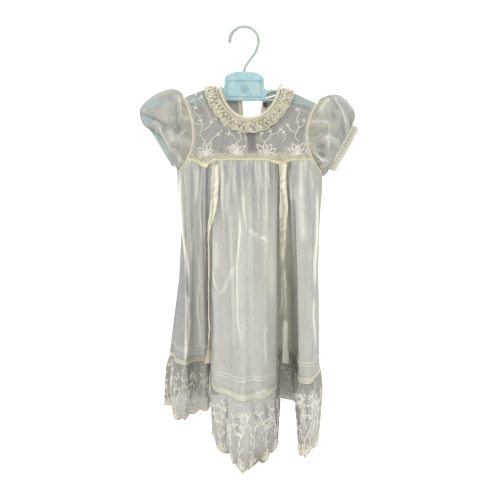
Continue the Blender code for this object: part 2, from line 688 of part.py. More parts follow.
def make_collar(materials):
    """A frill that starts under the neckband and lies out over the yoke."""
    front_spans, back_spans = (count * GATHER for count in COLLAR_GATHERS)
    base = neck_loop(front_spans, back_spans)
    along = np.gradient(base, axis=0)
    side = np.where(base[:, 1] > 0.0, -1.0, 1.0)
    direction = unit(np.stack([along[:, 2], -along[:, 0]], axis=1)) * side[:, None]
    wave = gather_wave(len(base))
    scallop = np.sin(math.pi * (np.arange(len(base)) % GATHER) / GATHER)
    rows = []
    for row in COLLAR_ROWS:
        reach = COLLAR_WIDTH * row.share + (scallop * COLLAR_SCALLOP if row is COLLAR_ROWS[-1] else 0.0)
        x = base[:, 0] + direction[:, 0] * reach
        z = np.minimum(base[:, 2] + direction[:, 1] * reach, ridge_z(x))
        rows.append(np.stack([x, -bodice_depth(x, z) * side, z], axis=1))
    outer = np.stack(rows)
    normals = grid_normals(outer)
    for number, row in enumerate(COLLAR_ROWS):
        outer[number] += normals[number] * (row.lift + wave * row.wave * COLLAR_WAVE)[:, None]
    cloth_wall("lace_collar", outer, outer - grid_normals(outer) * WALL, materials["lace"])


def make_yoke_edging(materials):
    """The scalloped lower edge of the yoke, lying over the top of the skirt."""
    first, last = FRONT_COLUMNS[0], FRONT_COLUMNS[0] + FRONT_COLUMNS[1]
    xs = [drop.x for drop in EDGE_DROPS]
    drops = [drop.drop for drop in EDGE_DROPS]
    lines = []
    for column in np.linspace(first + EDGING_START, last - EDGING_START, EDGING_LINES):
        place = column_at(column)
        x = loop_values(place)[0][0]
        hang = np.interp(x, xs, drops)
        upper = [np.array([x, -float(bodice_depth(x, z)), z]) for z in YOKE_SEAM_Z + np.array(EDGING_UP)]
        heights = YOKE_SEAM_Z - SEAM_GAP * np.array([1.0, 2.0]) - np.array([0.0, hang])
        lines.append(np.concatenate([upper, skirt_line(place, heights)]))
    outer = np.stack(lines, axis=1)
    outer += grid_normals(outer) * np.array(EDGING_LIFT)[:, None, None]
    cloth_wall("yoke_edging", outer, outer - grid_normals(outer) * WALL, materials["edging"])


# ---------------------------------------------------------------- sleeves

def armhole_ring(side, yoke_front, yoke_back, skirt_outer):
    """The armhole's points as the yoke and skirt have them, from the shoulder round the
    front, under the arm and up the back, with their angles."""
    edge = 0 if side == "left" else -1
    front = yoke_front[:, edge]
    back = yoke_back[side][:, edge]
    total = len(PLACES)
    a, c = FRONT_COLUMNS[0], BACK_COLUMNS[0]
    if side == "left":
        under = [skirt_outer[0, i % total] for i in range(a, -1 - BACK_COLUMNS[2], -1)]
    else:
        under = [skirt_outer[0, i] for i in range(FRONT_COUNT - a, FRONT_COUNT + c + 1)]
    ring = np.concatenate([front[:-1], np.array(under), back[:-1][::-1]])[:-1]
    hole = ARMHOLES[side]
    middle_z = (hole.top_z + hole.under_z) / 2
    half = (hole.top_z - hole.under_z) / 2
    angles = np.arctan2(-ring[:, 1] / BODICE_DEPTH, (ring[:, 2] - middle_z) / half)
    return ring, np.unwrap(angles)


def twice_as_many(values, span=0.0):
    after = np.roll(values, -1, axis=0)
    if values.ndim == 1:
        after[-1] += span
    middle = (values + after) / 2
    return np.stack([values, middle], axis=1).reshape(-1, *values.shape[1:])


def cuff_ring(side, angles, share, inside=0.0):
    """A cuff's ring: share 0 at the gathers, 1 at the free edge."""
    cuff = CUFFS[side]
    tilt = math.radians(cuff.tilt)
    centre = np.array([cuff.inner_x + (cuff.outer_x - cuff.inner_x) * share, 0.0,
                       cuff.inner_z + (cuff.outer_z - cuff.inner_z) * share])
    up = np.array([math.sin(tilt), 0.0, math.cos(tilt)])
    return (centre + np.cos(angles)[:, None] * up * (cuff.half_long - inside)
            + np.sin(angles)[:, None] * np.array([0.0, inside - cuff.half_deep, 0.0]))


def rail_mix(top, front, under, back, angles):
    """Passes through four rails a quarter turn apart."""
    return ((top + under + front + back) / 4 + np.cos(angles)[:, None] * (top - under) / 2
            + np.sin(angles)[:, None] * (front - back) / 2
            + np.cos(2 * angles)[:, None] * (top + under - front - back) / 4)


def sleeve_grid(side, ring, angles):
    outwards = -1.0 if side == "left" else 1.0
    cuff = cuff_ring(side, angles, 0.0)
    rows = []
    for station in SLEEVES[side]:
        top = np.array([station.top_out * outwards, 0.0, station.top_up])
        front = np.array([station.side_out * outwards, -station.side_puff, station.side_up])
        back = front * np.array([1.0, -1.0, 1.0])
        under = np.array([station.under_out * outwards, 0.0, station.under_up])
        row = ring + (cuff - ring) * station.along + rail_mix(top, front, under, back, angles)
        if side == "left":
            crease = np.exp(-((angles - CREASE_ANGLE) / CREASE_HALF) ** 2)
            row[:, 1] += SLEEVE_CREASE * crease * math.sin(math.pi * station.along) ** 2
        rows.append(row)
    return np.stack(rows)


def make_sleeve(side, ring, angles, materials):
    outwards = -1.0 if side == "left" else 1.0
    ring = twice_as_many(ring) + np.array([outwards * ARMHOLE_GAP, 0.0, 0.0])
    angles = twice_as_many(angles, span=angles[-1] - angles[0] + angles[1] - angles[0])
    grid = sleeve_grid(side, ring, angles)
    normals = grid_normals(grid, closed=True) * outwards
    wave = gather_wave(grid.shape[1])
    outer = grid.copy()
    for row, station in enumerate(SLEEVES[side][1:-1], start=1):
        near_end = max(math.exp(-(station.along / GATHER_REACH[0]) ** 2),
                       math.exp(-((1 - station.along) / GATHER_REACH[1]) ** 2))
        outer[row] += normals[row] * (wave * (GATHER_MIDDLE + near_end) * SLEEVE_GATHER)[:, None]
    normals = grid_normals(outer, closed=True) * outwards
    normals[0] = flat_in(normals[0], 0)
    cloth_wall(f"sleeve_{side}", outer, outer - normals * WALL, materials["voile"], closed=True)

    shrink = CUFFS[side].inside
    outer, inner = (np.stack([cuff_ring(side, angles, share, depth) for share in (0.0, 1.0)])
                    for depth in (shrink, shrink + DOUBLE_WALL))
    cloth_wall(f"cuff_{side}", outer, inner, materials["seam"], closed=True)


# ---------------------------------------------------------------- ribbons and fasteners

def ribbon_strip(name, centres, across, normals, material):
    """A flat strip three points wide along a line."""
    outer = np.stack([centres - across, centres, centres + across], axis=1)
    cloth_wall(name, outer, outer - normals[:, None] * WALL, material)


def make_ribbons(materials):
    centres = np.array([[spot.x, spot.y, spot.z] for spot in RIGHT_RIBBON], float)
    turns = np.radians([spot.turn for spot in RIGHT_RIBBON])
    halves = np.array([spot.half for spot in RIGHT_RIBBON])
    across = np.stack([np.cos(turns), np.sin(turns), np.zeros(len(turns))], axis=1) * halves[:, None]
    facing = np.stack([np.sin(turns), -np.cos(turns), np.zeros(len(turns))], axis=1)
    ribbon_strip("ribbon_right", centres, across, facing, materials["satin"])

    centres, across, facing = [], [], []
    for spot in LEFT_RIBBON:
        height = np.array([spot.z])
        before, point, after = (skirt_line(spot.place + step, height)[0]
                                for step in (-RIBBON_STEP, 0.0, RIBBON_STEP))
        tangent = unit((after - before) * np.array([1.0, 1.0, 0.0]))
        normal = np.array([tangent[1], -tangent[0], 0.0])
        turn = math.radians(spot.turn)
        centres.append(point + normal * spot.lift)
        across.append((tangent * math.cos(turn) + normal * math.sin(turn)) * spot.half)
        facing.append(normal * math.cos(turn) - tangent * math.sin(turn))
    ribbon_strip("ribbon_left", np.array(centres), np.array(across), np.array(facing), materials["satin"])


def make_button(name, centre, radius, height, material, along_x=False):
    """A small disc standing out along -Y from its centre, or along X."""
    points, faces = [], []
    for reach in (0.0, height):
        for k in range(DISC_SIDES):
            turn = 2 * math.pi * k / DISC_SIDES
            flat, up = radius * math.cos(turn), radius * math.sin(turn)
            step = (reach, flat, up) if along_x else (flat, -reach, up)
            points.append(tuple(np.add(centre, step)))
    faces.append(tuple(range(DISC_SIDES)))
    faces.append(tuple(reversed(range(DISC_SIDES, 2 * DISC_SIDES))))
    for k in range(DISC_SIDES):
        after = (k + 1) % DISC_SIDES
        faces.append((k, DISC_SIDES + k, DISC_SIDES + after, after))
    return add_object(name, points, faces, material)


def make_fasteners(materials):
    make_button("back_snap", SNAP, SNAP_RADIUS, FASTENER_HEIGHT, materials["rust"])
    make_button("neck_hook", NECK_HOOK, NECK_HOOK_RADIUS, FASTENER_HEIGHT, materials["rust"], along_x=True)


# ---------------------------------------------------------------- hanger

def prism(name, outline, front_y, back_y, material):
    """An outline in X and Z, clockwise seen from the front, given depth along Y."""
    count = len(outline)
    points = [(spot.x, y, spot.z) for y in (front_y, back_y) for spot in outline]
    faces = [tuple(range(count))[::-1], tuple(range(count, 2 * count))]
    for k in range(count):
        after = (k + 1) % count
        faces.append((k, after, count + after, count + k))
    return add_object(name, points, faces, material, smooth=False)


def cut_or_join(target, tool, operation):
    """A Boolean with another object, which is kept as a guide and not built."""
    tool.hide_render = True
    tool.display_type = "WIRE"
    modifier = target.modifiers.new(tool.name, "BOOLEAN")
    modifier.operation = operation
    modifier.object = tool


def make_hanger(materials):
    right = [*PLAQUE_EDGE, *ARM_TOP[1:], *ARM_END, *ARM_UNDER]
    left = [Spot(-spot.x, spot.z) for spot in reversed(right) if spot.x > 0]
    body = prism("hanger_body", right + left, -BODY_DEPTH / 2, BODY_DEPTH / 2, materials["blue"])
    rounding = body.modifiers.new("rounded edges", "BEVEL")
    rounding.width = BODY_ROUND * MM
    rounding.segments = 1
    rounding.limit_method = "ANGLE"
    rounding.angle_limit = math.radians(BODY_EDGE_ANGLE)
    for label, hole in (("inner", INNER_HOLE), ("outer", OUTER_HOLE)):
        for side in (1, -1):
            outline = [Spot(spot.x * side, spot.z) for spot in hole][::side]
            cutter = prism(f"cut_{label}_{'right' if side > 0 else 'left'}", outline,
                           -BODY_DEPTH, BODY_DEPTH, materials["blue"])
            cut_or_join(body, cutter, "DIFFERENCE")

    half_x, half_z = RIM_SIZE[0] / 2, RIM_SIZE[1] / 2
    front = -BODY_DEPTH / 2
    thin = RIM_WIDTH / 2
    bars = [(0, RIM_CENTRE_Z + half_z, half_x, thin), (0, RIM_CENTRE_Z - half_z, half_x, thin),
            (-half_x, RIM_CENTRE_Z, thin, half_z + thin), (half_x, RIM_CENTRE_Z, thin, half_z + thin)]
    for number, (x, z, wide, high) in enumerate(bars):
        outline = [Spot(x - wide, z + high), Spot(x + wide, z + high), Spot(x + wide, z - high),
                   Spot(x - wide, z - high)]
        bar = prism(f"rim_{number}", outline, front - RIM_HEIGHT, front + RAISED_ROOT, materials["blue"])
        cut_or_join(body, bar, "UNION")
    for number in range(PETAL_COUNT + 1):
        turn = 2 * math.pi * number / PETAL_COUNT
        reach = 0.0 if number == PETAL_COUNT else PETAL_REACH
        centre = (reach * math.cos(turn), front + RAISED_ROOT, RIM_CENTRE_Z + reach * math.sin(turn))
        petal = make_button(f"petal_{number}", centre, PETAL_RADIUS, RIM_HEIGHT + RAISED_ROOT,
                            materials["blue"])
        cut_or_join(body, petal, "UNION")

    curve = bpy.data.curves.new("hanger_hook", "CURVE")
    curve.dimensions = "3D"
    curve.bevel_depth = HOOK_WIRE * MM
    curve.bevel_resolution = 2
    curve.use_fill_caps = True
    centre_z = HOOK_WIRE - HOOK_RING
    turns = np.radians(np.arange(*HOOK_TURN))
    arc = [Spot(HOOK_RING * math.cos(t), centre_z + HOOK_RING * math.sin(t)) for t in turns]
    route = [Spot(-HOOK_RING, centre_z - HOOK_TIP)] + arc + HOOK_SHANK + [Spot(0.0, PLAQUE_TOP_Z + SEAM_GAP)]
    line = curve.splines.new("POLY")
    line.points.add(len(route) - 1)
    for point, spot in zip(line.points, route):
        point.co = (spot.x * MM, 0.0, spot.z * MM, 1.0)
    hook = bpy.data.objects.new("hanger_hook", curve)
    curve.materials.append(materials["hook"])
    bpy.context.scene.collection.objects.link(hook)


# ---------------------------------------------------------------- the whole gown

def main():
    for leftover in list(bpy.data.objects):
        bpy.data.objects.remove(leftover, do_unlink=True)
    materials = {
        "voile": make_material("voile", (0.56, 0.56, 0.52), 0.75),
        "embroidered": make_material("embroidered_organdy", (0.45, 0.43, 0.41), 0.75),
        "seam": make_material("cream_binding", (0.70, 0.66, 0.50), 0.7),
        "edging": make_material("cream_edging", (0.68, 0.62, 0.42), 0.7),
        "lace": make_material("cream_lace", (0.62, 0.58, 0.47), 0.8),
        "satin": make_material("satin_ribbon", (0.74, 0.70, 0.58), 0.35),
        "blue": make_material("pale_blue_plastic", (0.42, 0.66, 0.70), 0.35),
        "hook": make_material("painted_wire", (0.55, 0.64, 0.60), 0.4),
        "rust": make_material("rusty_metal", (0.12, 0.08, 0.05), 0.7, 0.6),
    }
    make_hanger(materials)
    yoke_front = make_yoke_front(materials)
    yoke_back = make_yoke_back(materials)
    make_neckband(materials)
    make_collar(materials)
    make_yoke_edging(materials)
    skirt_outer = make_skirt(materials)
    for side in ("left", "right"):
        ring, angles = armhole_ring(side, yoke_front, yoke_back, skirt_outer)
        make_sleeve(side, ring, angles, materials)
    make_ribbons(materials)
    make_fasteners(materials)


main()
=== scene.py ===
import json
import math
from collections import namedtuple

import bpy
import numpy as np
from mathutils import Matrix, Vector
from mathutils.bvhtree import BVHTree

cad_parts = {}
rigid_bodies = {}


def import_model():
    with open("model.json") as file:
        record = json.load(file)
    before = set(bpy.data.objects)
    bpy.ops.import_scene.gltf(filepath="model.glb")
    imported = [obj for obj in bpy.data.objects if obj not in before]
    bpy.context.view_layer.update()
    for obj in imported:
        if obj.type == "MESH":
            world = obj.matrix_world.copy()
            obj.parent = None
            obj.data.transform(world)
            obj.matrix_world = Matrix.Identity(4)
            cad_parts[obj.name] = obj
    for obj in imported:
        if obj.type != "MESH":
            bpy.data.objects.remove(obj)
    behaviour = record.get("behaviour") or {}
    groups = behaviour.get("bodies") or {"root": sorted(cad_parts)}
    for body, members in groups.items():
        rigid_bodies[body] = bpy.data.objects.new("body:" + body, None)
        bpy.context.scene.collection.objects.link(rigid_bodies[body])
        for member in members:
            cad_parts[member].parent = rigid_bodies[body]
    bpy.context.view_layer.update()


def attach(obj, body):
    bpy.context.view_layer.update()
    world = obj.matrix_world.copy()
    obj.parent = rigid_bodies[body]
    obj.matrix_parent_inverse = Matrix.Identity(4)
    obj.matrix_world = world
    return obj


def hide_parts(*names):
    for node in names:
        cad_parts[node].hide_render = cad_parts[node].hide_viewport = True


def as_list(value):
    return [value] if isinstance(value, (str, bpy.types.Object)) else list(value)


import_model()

mm = 0.001
pi = math.pi

# Sizes below are in millimetres. The origin is the top of the inside of the hook, the
# front of the gown faces -Y, and left and right are as seen from the front.


# Points and meshes

def unit(vectors):
    length = np.linalg.norm(vectors, axis=-1, keepdims=True)
    return vectors / np.maximum(length, 1e-9)


def bell(value, centre, half):
    return np.exp(-((value - centre) / half) ** 2)


def smoothStep(low, high, value):
    share = np.clip((np.asarray(value, float) - low) / (high - low), 0.0, 1.0)
    return share * share * (3 - 2 * share)


def smoothCurve(knots, values, wanted):
    # a cubic curve through the values, level or sloping as its neighbours are
    knots, values = np.asarray(knots, float), np.asarray(values, float)
    slopes = np.gradient(values, knots, axis=0)
    wanted = np.asarray(wanted, float)
    at = np.clip(np.searchsorted(knots, wanted, side="right") - 1, 0, len(knots) - 2)
    span = knots[at + 1] - knots[at]
    t = (wanted - knots[at]) / span
    if values.ndim > 1:
        t, span = t[:, None], span[:, None]
    return ((2 * t ** 3 - 3 * t ** 2 + 1) * values[at] + (t ** 3 - 2 * t ** 2 + t) * span * slopes[at]
            + (3 * t ** 2 - 2 * t ** 3) * values[at + 1] + (t ** 3 - t ** 2) * span * slopes[at + 1])


def noiseLine(places, seed):
    # uneven but fixed: a few sines with drawn phases
    rng = np.random.default_rng(seed)
    return sum(size * np.sin(pace * np.asarray(places, float) + rng.uniform(0, 2 * pi))
               for pace, size in ((1.0, 1.0), (2.3, 0.5), (5.1, 0.25)))


def runLength(points):
    # how far each point of a line is from its start
    return np.concatenate([[0.0], np.cumsum(np.linalg.norm(np.diff(points, axis=0), axis=1))])


def closedRow(row):
    return np.concatenate([row, row[:1]])


def gridNormals(grid, closed=False):
    across = np.roll(grid, -1, axis=1) - np.roll(grid, 1, axis=1) if closed else np.gradient(grid, axis=1)
    return unit(np.cross(np.gradient(grid, axis=0), across))


def lifted(grid, height):
    # moved out along the surface, by a height for each point
    return grid + gridNormals(grid) * height[..., None]


def spread(outer, closed):
    # how far along the middle row each column lies, and how far down each row
    middle = outer[len(outer) // 2]
    deep = np.linalg.norm(np.diff(outer, axis=0), axis=2).mean(axis=1)
    return runLength(closedRow(middle) if closed else middle), np.concatenate([[0.0], np.cumsum(deep)])


def newObject(name, data):
    made = bpy.data.objects.new(name, data)
    bpy.context.scene.collection.objects.link(made)
    return made


def meshObject(name, points, faces, material):
    mesh = bpy.data.meshes.new(name)
    mesh.from_pydata(np.asarray(points, float) * mm, [], faces)
    mesh.shade_smooth()
    mesh.materials.append(material)
    return newObject(name, mesh)


def dress(piece, slot, *nodes):
    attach(piece, "root")
    if nodes:
        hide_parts(*nodes)


def clothPiece(name, node, slot, outer, material, thickness=0.35, closed=False, paint=None, inner=None):
    # a thin sheet from rows of points; its UV map runs along it in metres, and "paint"
    # holds cream (seams, denser cloth, painted highlights and painted light), shade (painted shade,
    # and the cuff beading's holes), brown (stains, yellowing and some painted shade) and blue for its
    # material
    rows, columns = outer.shape[:2]
    count, spans, last = rows * columns, columns if closed else columns - 1, (rows - 1) * columns
    if inner is None:
        inner = outer - gridNormals(outer, closed) * thickness
    first, c = np.arange(rows - 1) * columns, np.arange(spans)
    after = (c + 1) % columns
    a, b = (first[:, None] + c).ravel(), (first[:, None] + after).ravel()
    quads = [(a, a + columns, b + columns, b),
             (a + count, b + count, b + columns + count, a + columns + count),
             (c, after, after + count, c + count),
             (last + after, last + c, last + c + count, last + after + count)]
    if not closed:
        final = first + columns - 1
        quads += [(first, first + count, first + columns + count, first + columns),
                  (final + columns, final + columns + count, final + count, final)]
    faces = np.concatenate([np.stack(quad, axis=1) for quad in quads])
    points = np.concatenate([outer.reshape(-1, 3), inner.reshape(-1, 3)])
    corners = [points[faces[:, i]] for i in range(4)]
    if np.sum(corners[0] * (np.cross(corners[1], corners[2]) + np.cross(corners[2], corners[3]))) < 0:
        faces = faces[:, ::-1]  # every face looks outward
    made = meshObject(name, points, faces.tolist(), material)

    along, down = spread(outer, closed)
    corner = faces % count
    row, column = corner // columns, corner % columns
    if closed:
        wraps = np.ptp(column, axis=1) > columns // 2
        column[wraps] = np.where(column[wraps] == 0, columns, column[wraps])
    uv = np.stack([along[column.ravel()], down[row.ravel()]], axis=1) * mm
    made.data.uv_layers.new(name="clothMap").data.foreach_set("uv", uv.astype(np.float32).ravel())
    tones = np.clip(noPaint(outer) if paint is None else paint, 0, 1).reshape(-1, 4)
    attribute = made.data.attributes.new("paint", "FLOAT_COLOR", "POINT")
    attribute.data.foreach_set("color", np.tile(tones, (2, 1)).astype(np.float32).ravel())
    dress(made, slot, node)


def noPaint(grid):
    return np.zeros(grid.shape[:2] + (4,))


# Materials

def rgb(tint):
    return (*(((value / 255 + 0.055) / 1.055) ** 2.4 for value in tint), 1.0)


def setInputs(tree, node, inputs):
    for key, value in dict(inputs).items():
        if isinstance(value, bpy.types.NodeSocket):
            tree.links.new(value, node.inputs[key])
        else:
            node.inputs[key].default_value = value


def newNode(tree, kind, inputs=(), **settings):
    made = tree.nodes.new(kind)
    for key, value in settings.items():
        setattr(made, key, value)
    setInputs(tree, made, inputs)
    return made


def shaderNode(tree, kind, inputs=(), **settings):
    return newNode(tree, "ShaderNode" + kind, inputs, **settings)


def maths(tree, operation, a, b=0.0):
    return shaderNode(tree, "Math", {0: a, 1: b}, operation=operation).outputs[0]


def noise(tree, place, scale, **inputs):
    return shaderNode(tree, "TexNoise", {"Vector": place, "Scale": scale, **inputs}).outputs[0]


def ranged(tree, value, low, high, first=0.0, last=1.0):
    return shaderNode(tree, "MapRange", {0: value, 1: low, 2: high, 3: first, 4: last}).outputs[0]


def mixColour(tree, share, a, b):
    return shaderNode(tree, "Mix", {0: share, 6: a, 7: b}, data_type="RGBA").outputs[2]


def layered(tree, look, *layers):
    # the look's base colour, with its other tints over it by their shares
    colour = rgb(look["base"])
    for share, tint in layers:
        colour = mixColour(tree, share, colour, rgb(look[tint]))
    return colour


def newMaterial(name):
    material = bpy.data.materials.new(name)
    material.use_nodes = True
    tree = material.node_tree
    return material, tree, tree.nodes["Principled BSDF"], shaderNode(tree, "TexCoord").outputs["Object"]


def surface(tree, shader, height, strength, distance, inputs):
    bump = shaderNode(tree, "Bump", {"Height": height, "Strength": strength, "Distance": distance})
    setInputs(tree, shader, {"Normal": bump.outputs[0], **inputs})


def threads(tree, pitch):
    # warp and weft as a height from -1 to 1, on the piece's own map
    place = shaderNode(tree, "SeparateXYZ", {0: shaderNode(tree, "UVMap", uv_map="clothMap").outputs[0]})
    lines = [maths(tree, "SINE", maths(tree, "MULTIPLY", place.outputs[axis], 2 * pi / (pitch * mm)))
             for axis in (0, 1)]
    return maths(tree, "MULTIPLY", lines[0], lines[1])


def clothMaterial(name, look):
    material, tree, shader, place = newMaterial(name)
    paint = shaderNode(tree, "Attribute", attribute_name="paint")
    cream, shade, brown = shaderNode(tree, "SeparateColor", {0: paint.outputs["Color"]}).outputs[:3]

    def cloudy(scale, low, high, stretch=(1, 1, 1), detail=3.0, top=1.0):
        moved = shaderNode(tree, "Mapping", {0: place, 3: stretch}).outputs[0]
        return ranged(tree, noise(tree, moved, scale, Detail=detail, Roughness=0.6), low, high, last=top)

    patches = cloudy(look["patchScale"], 0.35, 0.68, detail=4.0)
    slubs = cloudy(260.0, 0.3, 0.75, (1, 1, 0.055), top=look["slubs"])
    streaks = cloudy(700.0, 0.42, 0.7, (1, 1, 0.035), detail=2.0, top=look["streaks"])
    blots = cloudy(42.0, 0.45, 0.7, (1, 1, 0.6), top=look["blots"])
    weave = threads(tree, look["pitch"])
    woven = maths(tree, "MULTIPLY", maths(tree, "ADD", weave, 1.0), 0.06)
    # the paint's shade is painted shade, its brown stains with some painted shade, its cream denser cloth
    # with painted highlights and painted light
    colour = layered(tree, look, (patches, "other"), (slubs, "thread"), (blots, "shade"), (shade, "shade"),
                     (brown, "brown"), (paint.outputs["Alpha"], "blue"), (streaks, "thread"),
                     (cream, "cream"), (woven, "thread"))
    height = maths(tree, "ADD", maths(tree, "MULTIPLY", weave, 0.35), maths(tree, "ADD", slubs, streaks))
    surface(tree, shader, height, look["bump"], 0.0004, {
        "Base Color": colour, "Roughness": look["roughness"], "Sheen Weight": look["sheen"],
        "Sheen Roughness": 0.5})
    if look["opacity"] < 1.0:  # sheer, and denser where it is folded, stitched or soiled
        # brown stains and painted shade alike make the cloth denser
        stainedAndShaded = maths(tree, "MULTIPLY", maths(tree, "MAXIMUM", brown, shade), 0.9)
        dense = maths(tree, "MAXIMUM", cream, stainedAndShaded)
        dense = maths(tree, "MAXIMUM", dense, maths(tree, "MULTIPLY", streaks, 0.6))
        clear = ranged(tree, dense, 0.0, 1.0, look["opacity"], look["denseOpacity"])
        setInputs(tree, shader, {"Alpha": clear})
    return material


voileLook = {"base": (192, 192, 183), "other": (180, 182, 178), "thread": (220, 219, 206),
             "shade": (148, 149, 149), "brown": (152, 143, 122), "cream": (240, 237, 222),
             "blue": (160, 192, 192), "patchScale": 9.0, "slubs": 0.4, "streaks": 0.3, "blots": 0.22,
             "pitch": 0.5, "bump": 0.5, "roughness": 0.82, "sheen": 0.15, "opacity": 0.55,
             "denseOpacity": 0.88}
yokeLook = {**voileLook, "base": (172, 168, 164), "other": (182, 178, 172), "thread": (206, 203, 194),
            "shade": (104, 98, 100), "brown": (170, 158, 128), "cream": (232, 227, 206), "opacity": 0.30,
            "denseOpacity": 0.94, "slubs": 0.25, "streaks": 0.15}
sleeveLook = {**voileLook, "base": (168, 168, 158), "other": (155, 158, 153), "brown": (172, 152, 108),
              "thread": (204, 202, 190), "shade": (112, 113, 110), "cream": (220, 217, 202),
              "blue": (138, 176, 178), "opacity": 0.5, "denseOpacity": 0.95}
flounceLook = {**voileLook, "base": (158, 155, 147), "other": (144, 141, 134), "thread": (188, 184, 174),
               "shade": (116, 111, 104), "brown": (120, 109, 96), "cream": (206, 201, 190), "opacity": 0.62,
               "blots": 0.4, "streaks": 0.2}
bindingLook = {**voileLook, "base": (180, 174, 150), "other": (166, 158, 130), "thread": (214, 208, 186),
               "shade": (110, 102, 86), "cream": (222, 216, 194), "opacity": 1.0, "slubs": 0.35, "pitch": 0.6,
               "blots": 0.3}

voile = clothMaterial("agedVoile", voileLook)
yokeOrgandy = clothMaterial("yokeOrgandy", yokeLook)
# the back yoke: a darker copy of the yoke's organdy, painted shade for its inside seen through the front
yokeBackOrgandy = clothMaterial("yokeBackOrgandy", {
    **yokeLook, "base": (160, 155, 153), "other": (172, 167, 163), "opacity": 0.84})
sleeveVoile = clothMaterial("sleeveVoile", sleeveLook)
flounceOrgandy = clothMaterial("flounceOrgandy", flounceLook)
beadingNet = clothMaterial("beadingNet", {
    **flounceLook, "base": (216, 214, 206), "other": (204, 202, 194), "opacity": 0.8})
creamBinding = clothMaterial("creamBinding", bindingLook)
cuffVoile = clothMaterial("cuffVoile", {**sleeveLook, "base": (176, 190, 188), "other": (166, 180, 178)})
picotBand = clothMaterial("picotBand", {
    **bindingLook, "base": (206, 203, 190), "other": (192, 188, 172), "shade": (96, 90, 78)})
yellowedEdging = clothMaterial("yellowedEdging", {
    **yokeLook, "base": (216, 210, 186), "other": (206, 200, 174), "cream": (230, 222, 184), "opacity": 0.1,
    "denseOpacity": 0.96, "slubs": 0.35, "streaks": 0.0})


def threadMaterial(name, **look):
    # satin-stitch cotton: fine lines across, a soft gloss
    material, tree, shader, place = newMaterial(name)
    strands = shaderNode(tree, "TexWave", {"Vector": place, "Scale": 900.0, "Distortion": 2.0, "Detail": 1.0},
                         bands_direction="DIAGONAL").outputs[1]
    surface(tree, shader, strands, 0.4, 0.0002, {
        "Base Color": layered(tree, look, (noise(tree, place, 120.0, Detail=2.0), "other")),
        "Roughness": 0.6, "Sheen Weight": 0.2})
    return material


whiteThread = threadMaterial("whiteEmbroideryCotton", base=(230, 227, 216), other=(210, 206, 192))
creamThread = threadMaterial("creamEmbroideryCotton", base=(224, 216, 186), other=(204, 194, 158))
hemThread = threadMaterial("agedHemCotton", base=(226, 220, 206), other=(198, 188, 170))


def laceMaterial(name, look):
    # small loops of thread with darker, half open cells between them
    material, tree, shader, place = newMaterial(name)
    flat = shaderNode(tree, "UVMap", uv_map="clothMap").outputs[0]
    cells = shaderNode(tree, "TexVoronoi", {"Vector": flat, "Scale": 1000 / look["cell"], "Randomness": 0.8},
                       feature="DISTANCE_TO_EDGE", voronoi_dimensions="2D").outputs["Distance"]
    scrolls = noise(tree, flat, 1000 / look["scroll"], Detail=1.0, Distortion=1.5)
    solid = maths(tree, "MAXIMUM", ranged(tree, cells, look["thread"], look["thread"] + 0.14, 1.0, 0.0),
                  ranged(tree, scrolls, 0.47, 0.55))
    thread = layered(tree, look, (noise(tree, place, 40.0), "other"))
    surface(tree, shader, solid, 0.8, 0.0004, {
        "Base Color": mixColour(tree, solid, rgb(look["gap"]), thread),
        "Alpha": ranged(tree, solid, 0.0, 1.0, look["gapOpacity"], 1.0), "Roughness": 0.8})
    return material


collarLace = laceMaterial("collarLace", {
    "base": (178, 172, 152), "other": (160, 154, 136), "gap": (118, 113, 106), "cell": 1.5, "thread": 0.04,
    "scroll": 11.0, "gapOpacity": 0.74})


def satinMaterial(name, look):
    material, tree, shader, place = newMaterial(name)
    paint = shaderNode(tree, "Attribute", attribute_name="paint").outputs["Color"]
    cream, shade, brown = shaderNode(tree, "SeparateColor", {0: paint}).outputs[:3]
    tone = ranged(tree, noise(tree, place, 60.0, Detail=4.0), 0.35, 0.65)
    pulled = shaderNode(tree, "Mapping", {0: place, 3: (60, 60, 240)}).outputs[0]
    creases = noise(tree, pulled, 2.0, Detail=2.0)
    height = maths(tree, "ADD", maths(tree, "MULTIPLY", threads(tree, look["pitch"]), 0.15), creases)
    # the paint's shade and cream: painted shade and highlight on the crumples; its brown a browner end
    colour = layered(tree, look, (tone, "other"), (shade, "shade"), (brown, "brown"), (cream, "cream"))
    surface(tree, shader, height, 0.35, 0.0005, {
        "Base Color": colour, "Roughness": 0.38, "Anisotropic": 0.4, "Sheen Weight": 0.2})
    return material


ribbonSatin = satinMaterial("ribbonSatin", {
    "base": (206, 201, 180), "other": (190, 184, 160), "shade": (128, 122, 108), "brown": (160, 144, 114),
    "cream": (234, 229, 210), "pitch": 0.4})


def plasticMaterial(name, look):
    # moulded plastic, clouded and a little scuffed
    material, tree, shader, place = newMaterial(name)
    clouds = noise(tree, place, 70.0, Detail=5.0, Roughness=0.65, Distortion=0.8)
    grain = noise(tree, place, 900.0, Detail=3.0)
    deep = shaderNode(tree, "SeparateXYZ", {0: place}).outputs[1]
    # raised parts take the look's raised tint; on the hanger it is darker, painted shade round the relief
    raised = maths(tree, "MULTIPLY", ranged(tree, deep, -0.0026, -0.0032), 0.5)  # rim and flower
    height = maths(tree, "ADD", maths(tree, "MULTIPLY", clouds, look["mould"]),
                   maths(tree, "MULTIPLY", grain, 0.2))
    surface(tree, shader, height, 0.5, 0.0004, {
        "Base Color": layered(tree, look, (ranged(tree, clouds, 0.38, 0.62), "other"), (raised, "raised")),
        "Roughness": ranged(tree, clouds, 0.0, 1.0, look["gloss"], look["gloss"] + 0.2)})
    return material


